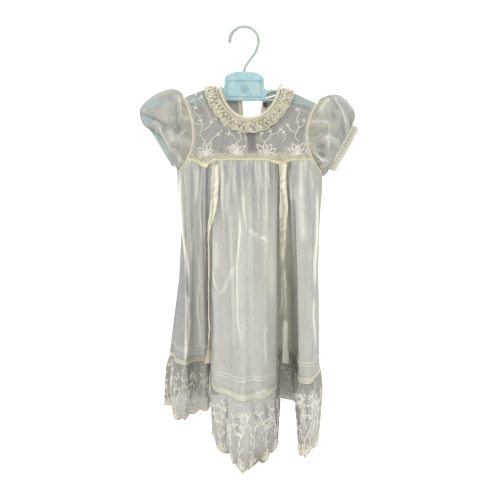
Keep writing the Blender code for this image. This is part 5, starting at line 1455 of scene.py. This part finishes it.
def makeCuff(side):
    turns = np.linspace(0, 2 * pi, 361)[:-1]
    down = np.linspace(0.0, 1.0, sleeve["cuffRows"])[:, None]
    band = np.stack([cuffRing(side, turns, share, cuffs[side].inside) for share in down[:, 0]])
    ruck = 0.28 * np.sin(turns * 24 + 0.8 * np.sin(turns * 5)) + 0.12 * np.sin(turns * 41)
    away = unit(band - band.mean(axis=1, keepdims=True))
    band = band + away * (0.45 * np.sin(pi * down) + ruck * (1 - 0.6 * down))[..., None]
    tones = noPaint(band)
    tones[..., 0] = 0.35 * smoothStep(0.7, 1.0, down) + 0.3 * smoothStep(0.25, 0.0, down)
    tones[..., 1] = (0.8 if side == "right" else 0.2) * bell(down, 0.45, 0.12) * (np.sin(turns * 40) > 0.1)
    tones[..., 3] = 0.5 if side == "left" else 0.0
    clothPiece(f"cuff{side.title()}", f"cuff_{side}", "cream_binding", band,
               picotBand if side == "right" else cuffVoile, closed=True, paint=tones,
               inner=band - away * sleeve["cuffThick"])
    return band


sleeves = {side: (makeSleeve(side), makeCuff(side)) for side in ("left", "right")}
print("sleeves and cuffs made")


# Ribbons: the right one's path, the left one's place along the folds' table, their half
# width, how they are turned in degrees and how far the left one stands off the skirt

RibbonSpot = namedtuple("RibbonSpot", "z x y half turn")
rightRibbon = [RibbonSpot(*row) for row in ((-237.5, 64, -28.6, 7, 0), (-262, 64, -30.5, 6.8, 8),
    (-300, 64.5, -31.5, 6.8, -6), (-345, 64, -31, 6.5, 5), (-385, 63.5, -31, 6, 15),
    (-406, 64, -31, 4.5, 62), (-420, 64.5, -31, 4.8, 20), (-450, 65, -31, 4.8, -5),
    (-470, 65, -31, 4.6, -50), (-486, 66, -31, 4.4, -110), (-502, 67, -31, 4.6, -165),
    (-530, 67.5, -30, 5, -180), (-562, 68, -29, 6.5, -188))]
FoldSpot = namedtuple("FoldSpot", "z place half turn lift")
leftRibbon = [FoldSpot(*row) for row in ((-240, 6.45, 6.5, 0, 3.2), (-258, 6.45, 6.5, 0, 3.6),
    (-280, 6.42, 6, 0, 4.3), (-305, 6.32, 6, 0, 4.4), (-328, 6.14, 5.5, 0, 4.4), (-348, 5.95, 5.5, 0, 4.4),
    (-372, 5.86, 6, 0, 4.2), (-410, 5.84, 6, 0, 4), (-460, 5.82, 6, 0, 4), (-500, 5.8, 6, 0, 4),
    (-530, 5.8, 6, 35, 5.5), (-547, 5.8, 6, 60, 7))]
ribbon = {"step": 0.12, "rows": 150, "columns": 11, "thick": 0.3}


def ribbonStrip(side, centres, across, facing, lowEndLight):
    # crumpled lengthwise, with short slanting creases; painted highlight on the ridges and painted
    # shade in the hollows, paler selvedges, and, where asked for, painted light toward the low end, which is
    # browner too
    name = "ribbon" + side.title()
    seed = len(name)
    run = runLength(centres)[:, None]
    spread = np.linspace(-1.0, 1.0, ribbon["columns"])[None, :]
    pleat = np.sin(spread * 3.4 + 0.9 * noiseLine(run * 0.05, seed))
    slant = np.sin(run * 0.42 + spread * 1.9 + 1.3 * noiseLine(run * 0.11, seed + 1))
    slant = slant * (0.5 + 0.5 * np.sin(run * 0.083 + seed))
    relief = 0.9 * pleat + 0.55 * slant
    narrow = 1.0 - 0.16 * (1 + noiseLine(run * 0.07, seed + 2)) / 2 - 0.05 * slant
    outer = (centres[:, None, :] + across[:, None, :] * (spread * narrow)[..., None]
             + facing[:, None, :] * relief[..., None])
    paint, low = noPaint(outer), smoothStep(0.62, 0.9, run / run[-1])
    paint[..., 0] = 0.75 * np.clip(relief - 0.35, 0, 1) + 0.5 * (np.abs(spread) > 0.93) + lowEndLight * low
    paint[..., 1] = 0.55 * np.clip(-relief - 0.1, 0, 1)
    paint[..., 2] = 0.2 * low
    clothPiece(name, f"ribbon_{side}", "satin_ribbon", outer, ribbonSatin, ribbon["thick"], paint=paint)


def makeRibbons():
    def spots(table, kind):
        table = np.array(table, float)
        z = table[0, 0] + (table[-1, 0] - table[0, 0]) * np.linspace(0, 1, ribbon["rows"])
        return [kind(height, *row[1:]) for height, row in zip(z, smoothCurve(-table[:, 0], table, -z))]

    centres, across, facing = [], [], []
    for spot in spots(rightRibbon, RibbonSpot):
        turn = math.radians(spot.turn)
        centres.append((spot.x, spot.y, spot.z))
        across.append(np.array([math.cos(turn), math.sin(turn), 0]) * spot.half)
        facing.append((math.sin(turn), -math.cos(turn), 0))
    ribbonStrip("right", np.array(centres), np.array(across), np.array(facing), 0.8)

    centres, across, facing = [], [], []
    for spot in spots(leftRibbon, FoldSpot):
        before, point, after = (skirtPoint(spot.place + step, spot.z)
                                for step in (-ribbon["step"], 0.0, ribbon["step"]))
        tangent = unit((after - before) * np.array([1.0, 1.0, 0.0]))
        normal = np.array([tangent[1], -tangent[0], 0.0])
        turn = math.radians(spot.turn)
        centres.append(point + normal * spot.lift)
        across.append((tangent * math.cos(turn) + normal * math.sin(turn)) * spot.half)
        facing.append(normal * math.cos(turn) - tangent * math.sin(turn))
    ribbonStrip("left", np.array(centres), np.array(across), np.array(facing), 0.0)


makeRibbons()
print("ribbons made")


# Stitched work on top of the cloth.

def sewn(name, *pieces, slot="cream_binding"):
    dress(joined(name, *pieces), slot)


# the yoke: four open tulips above the seam, branching stems over them, scattered dots and
# two rows of low arches along the seam
Leaf = namedtuple("Leaf", "turn length half")
tulipPetals = [Leaf(-68, 12.5, 2.3), Leaf(-38, 15.5, 2.7), Leaf(-6, 13.5, 2.5), Leaf(30, 15.0, 2.7),
               Leaf(66, 12.0, 2.3)]
tulipLeaves = [Leaf(-108, 9.5, 1.9), Leaf(104, 10.5, 2.0)]
Tulip = namedtuple("Tulip", "x z turn size")
yokeTulips = [Tulip(-62, -221, -10, 1.4), Tulip(-13, -220, 14, 1.25), Tulip(37, -221, -12, 1.42),
              Tulip(87, -220, 9, 1.38)]
yokeStems = [[(-64, -200), (-72, -188), (-68, -174), (-74, -158)], [(-68, -182), (-58, -176), (-50, -162)],
    [(-56, -200), (-48, -192), (-38, -186)], [(-69, -172), (-80, -170), (-88, -162)],
    [(-9, -202), (-18, -190), (-30, -186)], [(-9, -202), (-5, -192), (-10, -180)],
    [(-22, -188), (-26, -178), (-36, -170)], [(34, -201), (44, -190), (42, -178)],
    [(34, -201), (28, -194), (30, -182)], [(42, -190), (54, -186), (64, -176)],
    [(90, -200), (84, -190), (90, -176), (86, -162)], [(86, -186), (76, -180), (68, -168)],
    [(89, -178), (98, -172), (99, -160)], [(86, -162), (91, -152), (86, -143)],
    [(-74, -158), (-82, -150), (-78, -138)], [(62, -202), (68, -192), (62, -180)],
    [(-90, -132), (-82, -124), (-80, -112)], [(-76, -128), (-66, -120)]]
yokeDots = [(-72, -158), (-46, -164), (-36, -183), (-88, -165), (-32, -186), (-10, -182), (-36, -171),
    (44, -182), (31, -184), (64, -177), (84, -162), (67, -170), (99, -162), (86, -144), (-76, -140),
    (-84, -148), (-92, -141), (-62, -146), (-54, -152), (-64, -132), (-52, -134), (-78, -112), (-65, -121),
    (-90, -132), (76, -150), (92, -138), (104, -142), (98, -150), (80, -134), (108, -158), (66, -158),
    (90, -120), (104, -128), (62, -190), (-50, -172), (-22, -178), (-40, -160), (54, -170), (50, -162),
    (-84, -180), (102, -180), (-58, -168), (22, -184), (-2, -188)]
Arches = namedtuple("Arches", "rise height span")
yokeArches = [Arches(2.2, 2.4, 6.2), Arches(5.4, 3.6, 12.4)]
yokeThread = {"petal": 0.6, "leaf": 0.42, "stem": 0.5, "arch": 0.4, "lift": 0.3,
              "archesFrom": -84.0, "archesTo": 103.0}


def makeYokeWork():
    rows, columns = yokeOuter.shape[:2]
    first = (np.arange(rows - 1)[:, None] * columns + np.arange(columns - 1)).ravel()
    faces = np.stack([first, first + columns, first + columns + 1, first + 1], axis=1)
    cloth = BVHTree.FromPolygons(yokeOuter.reshape(-1, 3).tolist(), faces.tolist())

    def onto(points, lift=yokeThread["lift"]):
        laid = []
        for x, z in points:
            hit = cloth.ray_cast(Vector((x, -400, z)), Vector((0, 1, 0)))[0]
            if hit is None:
                break
            laid.append((x, hit.y - lift, z))
        return laid

    lines = []
    rng = np.random.default_rng(12)
    for spot in yokeTulips:
        shapes = [(petal(leaf.length * rng.uniform(0.8, 1.15), leaf.half * rng.uniform(0.8, 1.2),
                         leaf.turn + rng.uniform(-9, 9)), yokeThread["petal"])
                  for leaf in tulipPetals + tulipLeaves]
        shapes += [(turned([(0, 3), (0, leaf.length * 0.7)], leaf.turn), yokeThread["leaf"])
                   for leaf in tulipPetals]
        lines += [(turned(shape, spot.turn, (spot.x, spot.z), spot.size), thick) for shape, thick in shapes]
    for path in yokeStems:
        lines.append((stem(*path), yokeThread["stem"]))
        end, before = np.array(path[-1], float), np.array(path[-2], float)
        lean = math.degrees(math.atan2(*(end - before)))
        for side in (-42, 42):  # a pair of small leaves half way up
            foot = before + (end - before) * 0.45
            lines.append((petal(4.6, 1.1, lean + side, foot, 5), yokeThread["leaf"]))
    kept = [(onto(line), thick) for line, thick in lines]
    kept = [(chain, thick) for chain, thick in kept if len(chain) > 2]
    spots = onto(yokeDots, 0.2)
    x = np.linspace(yokeThread["archesFrom"], yokeThread["archesTo"], 260)
    arches = [onto(np.stack([x, gown["seam"] + row.rise
                             + row.height * np.abs(np.sin(pi * x / row.span))], axis=1))
              for row in yokeArches]
    sewn("yokeEmbroidery", cords("yokeStems", *zip(*kept), whiteThread),
         dots("yokeDots", spots, [float(rng.uniform(0.9, 1.45)) for _ in spots], whiteThread),
         cords("yokeScallops", arches, [yokeThread["arch"]] * 2, creamThread), slot="embroidered_organdy")


makeYokeWork()
print("yoke embroidered")


# the flounce: a leafy flower on every scallop, long branching sprigs with dots over them
flounceWork = {"petals": [Leaf(-72, 9.5, 2.1), Leaf(-36, 12.0, 2.6), Leaf(0, 12.5, 2.6), Leaf(36, 12.0, 2.6),
                          Leaf(72, 9.5, 2.1)],
               "sprigEvery": 2, "apart": 30.0, "top": 76.0, "thread": 0.5, "fine": 0.4, "whiteAbove": 17.0,
               "edge": 0.85, "edgeClear": 3.0}


def flowerShapes(rng):
    turn = rng.uniform(-12, 12)
    shapes = [petal(leaf.length, leaf.half, leaf.turn + turn, (0, 2.5), 6) for leaf in flounceWork["petals"]]
    return shapes + [
        petal(7, 1.7, -100 + turn, (-2, 5), 5), petal(7, 1.7, 100 + turn, (2, 5), 5),
        stem((0, 3), (rng.uniform(-4, 4), 18), (rng.uniform(-8, 8), 32), points=6),
        petal(8.5, 1.9, rng.uniform(-75, -25), (-1, 18), 5), petal(8.5, 1.9, rng.uniform(25, 75), (1, 22), 5),
        petal(7.5, 1.8, rng.uniform(-60, 60), (rng.uniform(-9, 9), 28), 5)]


def sprigShapes(rng, wide, tall):
    # stems either side of the flower's own, with their leaves, and dots beside them
    shapes, spots = [], []
    top = flounceWork["top"] - rng.uniform(0, 12) if tall else None
    for side in (-1, 1):
        if tall:
            reach = side * wide * rng.uniform(0.9, 1.5)
            shapes.append(stem((0, 30), (reach * 0.35, 30 + (top - 30) * 0.5), (reach, top), points=7))
            for share in (0.3, 0.55, 0.8):
                foot = (reach * share ** 1.4, 30 + (top - 30) * share)
                shapes.append(petal(6.8, 1.5, side * rng.uniform(25, 80), foot, 5))
                shapes.append(petal(5.4, 1.3, -side * rng.uniform(20, 60), foot, 5))
                spots.append((foot[0] - side * 5.5, foot[1] + 3.5, rng.uniform(0.9, 1.4)))
        else:
            reach, top = side * wide * rng.uniform(0.2, 0.9), rng.uniform(46, 66)
            shapes.append(stem((side * 2, 26), (reach * 0.6, 26 + (top - 26) * 0.5), (reach, top), points=6))
            for share in (0.4, 0.75):
                foot = (reach * share, 26 + (top - 26) * share)
                shapes.append(petal(5.6, 1.3, side * rng.uniform(-70, 80), foot, 5))
    if not tall:
        spots += [(rng.uniform(-wide, wide), rng.uniform(28, 76), rng.uniform(0.8, 1.3)) for _ in range(6)]
    for _ in range(2):  # two more, thrown anywhere over the flower
        foot = np.array([rng.uniform(-wide, wide), rng.uniform(34, 66)])
        lean, long = rng.uniform(-75, 75), rng.uniform(12, 19)
        sprig = [stem((0, 0), (1.5, long * 0.5), (0, long), points=5)]
        sprig += [petal(5.2, 1.3, side * 48, (0.8, height * long), 5)
                  for side, height in ((-1, 0.15), (1, 0.4), (-1, 0.65))]
        shapes += [turned(piece, lean, foot) for piece in sprig]
    return shapes, spots


def makeFlounceWork():
    grid, facing = skirtOuter[bandEnd - 1:], skirtNormals[bandEnd - 1:]
    at, along, down = clothMap(grid, facing, closed=True)
    depth = down[-1]
    rng = np.random.default_rng(47)
    ends = np.interp(np.arange(0, totalCount + 1, skirt["gather"]),
                     np.append(columnNumbers, totalCount), along)
    works = {half: {"low": [], "high": [], "dots": []} for half in halves}
    middles = []
    for left, right in zip(ends[:-1], ends[1:]):  # wide scallops carry more than one flower
        count = max(1, round((right - left) / flounceWork["apart"]))
        middles += [left + (right - left) * (i + 0.5) / count for i in range(count)]
    wide = along[-1] / len(middles) / 2
    for number, across in enumerate(middles):
        work = works["Front" if across < along[frontFine] else "Back"]
        shapes = flowerShapes(rng)
        sprigs, spots = sprigShapes(rng, wide, number % flounceWork["sprigEvery"] == 0)
        work["dots"] += [(across + x, depth - up, size) for x, up, size in spots]
        for shape in shapes + sprigs:
            shape[:, 1] = np.minimum(shape[:, 1], depth - flounceWork["edgeClear"])
            kind = "high" if shape[:, 1].mean() > flounceWork["whiteAbove"] else "low"
            work[kind].append(at(np.stack([across + shape[:, 0], depth - shape[:, 1]], axis=1), 0.3))
    edge = closedRow(grid[-1]) + closedRow(facing[-1]) * 0.2
    for half, work in works.items():
        first, last, _ = halves[half]
        spots = np.array(work["dots"])
        sewn("flounceEmbroidery" + half,
             cords("flounceStems" + half, work["low"], [flounceWork["thread"]] * len(work["low"]), hemThread),
             cords("flounceSprigs" + half, work["high"], [flounceWork["fine"]] * len(work["high"]),
                   whiteThread),
             cords("flounceEdge" + half, [edge[first:last + 1]], [flounceWork["edge"]], hemThread),
             dots("flounceDots" + half, at(spots[:, :2], 0.2), spots[:, 2], whiteThread),
             slot="embroidered_organdy")


makeFlounceWork()
print("flounce embroidered")


# cords, beading and running stitches: how thick the cords are, the edging's small arches, and
# how far apart, how long and how thick the stitches are
trim = {"beading": (0.5, 0.55), "tuck": 0.3, "armhole": 0.85, "cuff": (0.6, 0.55), "edging": (0.5, 0.35, 0.6),
        "arch": 5.2, "archDrop": 1.6, "innerUp": 2.6, "innerWave": 0.6, "shoulder": 0.7}
stitch = {"beading": (3.4, 0.75, 0.75), "seam": (2.6, 0.9, 0.3), "picots": (2.8, 0.85, 0.85),
          "neck": (2.4, 0.8, 0.28), "placket": (2.6, 0.8, 0.28)}


def makeSkirtTrims():
    for half, (first, last, _) in halves.items():
        columns = np.arange(first, last + 1) % len(columnNumbers)
        chosen = columns[np.unique(np.append(np.arange(0, len(columns), 2), len(columns) - 1))]

        def line(row, lift):
            return skirtOuter[row][chosen] + skirtNormals[row][chosen] * lift

        sewn("beading" + half,
             cords("beadingCords" + half, [line(skirtEnd - 1, 0.1), line(bandEnd - 1, 0.1)],
                   trim["beading"], creamThread),
             stitches("beadingDots" + half, [line((skirtEnd + bandEnd - 2) // 2, 0.25)],
                      whiteThread, *stitch["beading"]))
        # the tucks' heights, down the middle of the back
        heights = skirtOuter[:skirtEnd, 27 * skirt["finerBack"] + frontFine, 2]
        tucks = [line(int(np.argmin(np.abs(heights - tuck))), 0.1) for tuck in skirt["tucks"]]
        seam = (slice(2, skirtEnd, 2), columns[0])
        sewn("skirtStitching" + half, cords("tuckCords" + half, tucks, [trim["tuck"]] * 2, whiteThread),
             stitches("seamStitches" + half, [skirtOuter[seam] + skirtNormals[seam] * 0.25],
                      creamThread, *stitch["seam"]))


def makeTrims():
    makeSkirtTrims()
    for side, (armhole, band) in sleeves.items():
        name = side.title()
        sewn("armholeCord" + name,
             cords("armholeCord" + name, [closedRow(armhole)], [trim["armhole"]], creamThread, 8))
        upper, lower = closedRow(band[0])[::2], closedRow(band[-1])[::2]
        sewn("cuffTrim" + name, cords("cuffCords" + name, [upper, lower], trim["cuff"], whiteThread),
             stitches("cuffPicots" + name, [lower], whiteThread, *stitch["picots"]))
    at, along, down = clothMap(edgingOuter, gridNormals(edgingOuter))
    run = np.linspace(0, along[-1], 360)
    lower = at(np.stack([run, np.full(len(run), down[-1])], axis=1), 0.2)
    drop = np.abs(np.sin(pi * run / trim["arch"]))[:, None]
    hanging = lower - np.array([0.0, 0.0, trim["archDrop"]]) * drop
    height = down[-1] - trim["innerUp"] - trim["innerWave"] * np.sin(2 * pi * run / trim["arch"])
    inner = at(np.stack([run, height], axis=1), 0.3)[::2]
    sewn("edgingCord", cords("edgingCord", [hanging, inner, lower[::2]], trim["edging"], creamThread))
    raised = lifted(neckbandOuter, np.full(neckbandOuter.shape[:2], 0.3))
    sewn("neckStitches", stitches("neckStitches", [raised[1], raised[8]], whiteThread, *stitch["neck"]))
    spans = yoke["shoulderSpans"] * yoke["finer"]
    sewn("shoulderCords", cords("shoulderCords", [yokeOuter[0][:spans], yokeOuter[0][-spans:]],
                                [trim["shoulder"]] * 2, creamThread, 6))
    backs = [yokeBackOuter[side][3:, edge] + np.array([inward * away, 0.55, 0.0])
             for side, edge, inward in (("left", -1, 1), ("right", 0, -1)) for away in (1.2, 6.6)]
    sewn("placketStitches", stitches("placketStitches", backs, whiteThread, *stitch["placket"]))


makeTrims()

# small five-petalled flowers along the lace collar, and its scalloped edge
floret = {"rows": (0.34, 0.76), "spacing": 7.6, "reach": 1.75, "bead": 0.72, "middle": 0.6, "petals": 5,
          "cords": (0.75, 0.6, 0.35), "scroll": 0.42}


def makeCollarWork():
    facing = gridNormals(collarOuter)
    at, along, down = clothMap(collarOuter, facing)
    spots = []
    count = int(along[-1] / floret["spacing"])
    for number, share in enumerate(floret["rows"]):
        for step in range(count):
            x, z = (step + 0.5 + 0.5 * number) * along[-1] / count, down[-1] * share
            for leaf in range(floret["petals"]):
                turn = 2 * pi * leaf / floret["petals"] + step
                spots.append((x + floret["reach"] * math.cos(turn),
                              z + floret["reach"] * math.sin(turn), floret["bead"]))
            spots.append((x, z, floret["middle"]))
    spots = np.array([spot for spot in spots if spot[0] < along[-1]])
    run = np.linspace(0, along[-1], 420)
    waves = np.stack([run, down[-1] * (0.55 + 0.13 * np.sin(2 * pi * run / floret["spacing"]))], axis=1)
    lines = [collarOuter[row] + facing[row] * 0.2 for row in (-1, 1, -3)]
    sewn("collarFlowers", dots("collarFlorets", at(spots[:, :2], 0.15), spots[:, 2], whiteThread),
         cords("collarCords", lines, floret["cords"], creamThread),
         cords("collarScroll", [at(waves, 0.15)], [floret["scroll"]], creamThread), slot="cream_lace")


makeCollarWork()
print("trims, collar flowers and stitches made")


# What each sheet was cut from: how wide and long it lay flat in metres, the area that is left
# of that where it is cut to a shape, how it is held, and what is sewn on it
Cut = namedtuple("Cut", "width length area held sewnOn")
cuts = {
    "skirtFront": Cut(0.490, 0.340, None, "gathered", ("skirtStitchingFront",)),
    "skirtBack": Cut(0.420, 0.340, None, "gathered", ("skirtStitchingBack",)),
    "bandFront": Cut(0.770, 0.010, 0.0051, "hung", ("beadingFront",)),
    "bandBack": Cut(0.650, 0.010, 0.0043, "hung", ("beadingBack",)),
    "flounceFront": Cut(0.850, 0.086, None, "gathered", ("flounceEmbroideryFront",)),
    "flounceBack": Cut(0.720, 0.086, None, "gathered", ("flounceEmbroideryBack",)),
    "yokeFront": Cut(0.245, 0.128, 0.0210, "hung", ("yokeEmbroidery", "shoulderCords")),
    "yokeBackLeft": Cut(0.105, 0.126, 0.0107, "hung", ()),
    "yokeBackRight": Cut(0.105, 0.124, 0.0102, "hung", ()),
    "placketLeft": Cut(0.010, 0.118, 0.00104, "hung", ("placketStitches",)),
    "placketRight": Cut(0.010, 0.118, 0.00104, "hung", ()),
    "sleeveLeft": Cut(0.260, 0.130, 0.0243, "gathered", ("armholeCordLeft",)),
    "sleeveRight": Cut(0.260, 0.130, 0.0237, "gathered", ("armholeCordRight",)),
    "cuffLeft": Cut(0.185, 0.012, None, "hung", ("cuffTrimLeft",)),
    "cuffRight": Cut(0.200, 0.013, None, "hung", ("cuffTrimRight",)),
    "neckBinding": Cut(0.240, 0.010, 0.0019, "hung", ("neckStitches",)),
    "laceCollar": Cut(0.420, 0.022, None, "gathered", ("collarFlowers",)),
    "yokeEdging": Cut(0.200, 0.020, 0.0029, "laid", ("edgingCord",)),
    "ribbonLeft": Cut(0.013, 0.310, None, "hung", ()),
    "ribbonRight": Cut(0.013, 0.330, None, "hung", ())}
for name, cut in cuts.items():
    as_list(cut.sewnOn)


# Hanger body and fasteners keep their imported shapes

for node, material in (("hanger_body", bluePlastic), ("back_snap", rustyMetal), ("neck_hook", rustyMetal)):
    materials = bpy.data.objects[node].data.materials
    materials.clear()
    materials.append(material)


# The hook: coated wire bent round, its thickness and the x and z of its middle
HookSpot = namedtuple("HookSpot", "x z radius")
hook = {"radius": 24.5, "centreZ": -22.1, "turns": np.radians(np.arange(168, -25, -12)), "sides": 20,
        "wire": 2.4, "left": 0.9, "right": 0.3, "rows": 110, "round": 1.6}
hookTip = HookSpot(-24.5, -25.1, 3.3)
hookShank = [HookSpot(20.9, -37.4, 2.6), HookSpot(17.9, -43.0, 2.5), HookSpot(11.2, -52.3, 2.5),
             HookSpot(5.0, -61.3, 2.4), HookSpot(1.1, -67.6, 2.4), HookSpot(0.0, -73.2, 2.4)]


def makeHook():
    # from the free end over the bend to the shank; thicker where the coat has gathered
    bend = []
    for turn in hook["turns"]:
        across, up = math.cos(turn), math.sin(turn)
        thick = hook["wire"] + hook["left"] * max(0.0, -across) + hook["right"] * max(0.0, across)
        bend.append(HookSpot(hook["radius"] * across, hook["centreZ"] + hook["radius"] * up, thick))
    spots = np.array([hookTip] + bend + hookShank)
    lengths = runLength(spots[:, :2])
    places = np.linspace(0.0, lengths[-1], hook["rows"])
    path = smoothCurve(lengths, spots, places)
    along = unit(np.gradient(path[:, :2], axis=0))
    rounded = np.sqrt(np.clip(1 - (1 - np.minimum(places / hook["round"], 1.0)) ** 2, 0.02, 1))
    angles = np.linspace(0, 2 * pi, hook["sides"], endpoint=False)
    points = [(x + radius * grow * math.cos(angle) * -dz, radius * grow * math.sin(angle),
               z + radius * grow * math.cos(angle) * dx)
              for (x, z, radius), (dx, dz), grow in zip(path, along, rounded) for angle in angles]
    n = len(angles)
    faces = [(n * row + i, n * (row + 1) + i, n * (row + 1) + (i + 1) % n, n * row + (i + 1) % n)
             for row in range(len(path) - 1) for i in range(n)]
    faces += [tuple(range(n)), tuple(range(n * (len(path) - 1), n * len(path)))[::-1]]
    dress(meshObject("hookWire", points, faces, hookCoat), "hanger_hook", "hanger_hook")


makeHook()


# Studio: pale floor far below, pale backdrop, soft light, the camera, all in metres but the sweep

sweep = {"wide": 4000, "curve": [(-2500, -900), (800, -900), (1100, -840), (1240, -700), (1300, -400),
                                 (1300, 2500)]}
Lamp = namedtuple("Lamp", "name place size power aimY")
lamps = [Lamp("windowLight", (-1.3, -1.6, 0.9), 1.4, 8.0, 0.0),
         Lamp("fillLight", (1.5, -1.3, 0.1), 1.4, 2.5, 0.0),
         Lamp("frontLight", (0.08, -2.0, -0.35), 0.6, 13.0, 0.0),
         Lamp("paperLight", (0.0, 0.5, 1.6), 2.4, 40.0, 1.2)]
view = {"lens": 28.4, "sensor": 36.0, "shiftY": 0.02, "place": (0.010, -0.670, -0.394), "room": 0.74}


def studio():
    for leftover in [o for o in bpy.data.objects if o.name in ("Cube", "Light", "Camera")]:
        bpy.data.objects.remove(leftover)
    material, tree, shader, place = newMaterial("palePaper")
    setInputs(tree, shader, {"Roughness": 0.9, "Base Color": layered(
        tree, {"base": (250, 250, 250), "other": (255, 255, 255)},
        (noise(tree, place, 6.0, Detail=4.0), "other"))})
    points = [(x, y, z) for y, z in sweep["curve"] for x in (-sweep["wide"], sweep["wide"])]
    faces = [(2 * i, 2 * i + 1, 2 * i + 3, 2 * i + 2) for i in range(len(sweep["curve"]) - 1)]
    meshObject("paperSweep", points, faces, material)

    world = bpy.data.worlds.new("softRoom")
    world.use_nodes = True
    light = world.node_tree.nodes["Background"]
    setInputs(world.node_tree, light, {0: (1.0, 1.0, 1.0, 1.0), 1: view["room"]})
    bpy.context.scene.world = world

    for lamp in lamps:
        light = bpy.data.lights.new(lamp.name, "AREA")
        light.shape, light.size, light.energy = "DISK", lamp.size, lamp.power
        made = newObject(lamp.name, light)
        made.location = lamp.place
        aim = np.array([0.0, lamp.aimY, -0.38]) - np.array(lamp.place)
        made.rotation_euler = (math.atan2(math.hypot(aim[0], aim[1]), -aim[2]), 0.0,
                               math.atan2(aim[1], aim[0]) - pi / 2)

    camera = bpy.data.cameras.new("camera")
    camera.lens, camera.sensor_width, camera.shift_y = view["lens"], view["sensor"], view["shiftY"]
    stand = newObject("camera", camera)
    stand.location = view["place"]
    stand.rotation_euler = (pi / 2, 0.0, 0.0)
    bpy.context.scene.camera = stand
    bpy.context.scene.view_settings.view_transform = "Standard"


studio()
print("studio set")
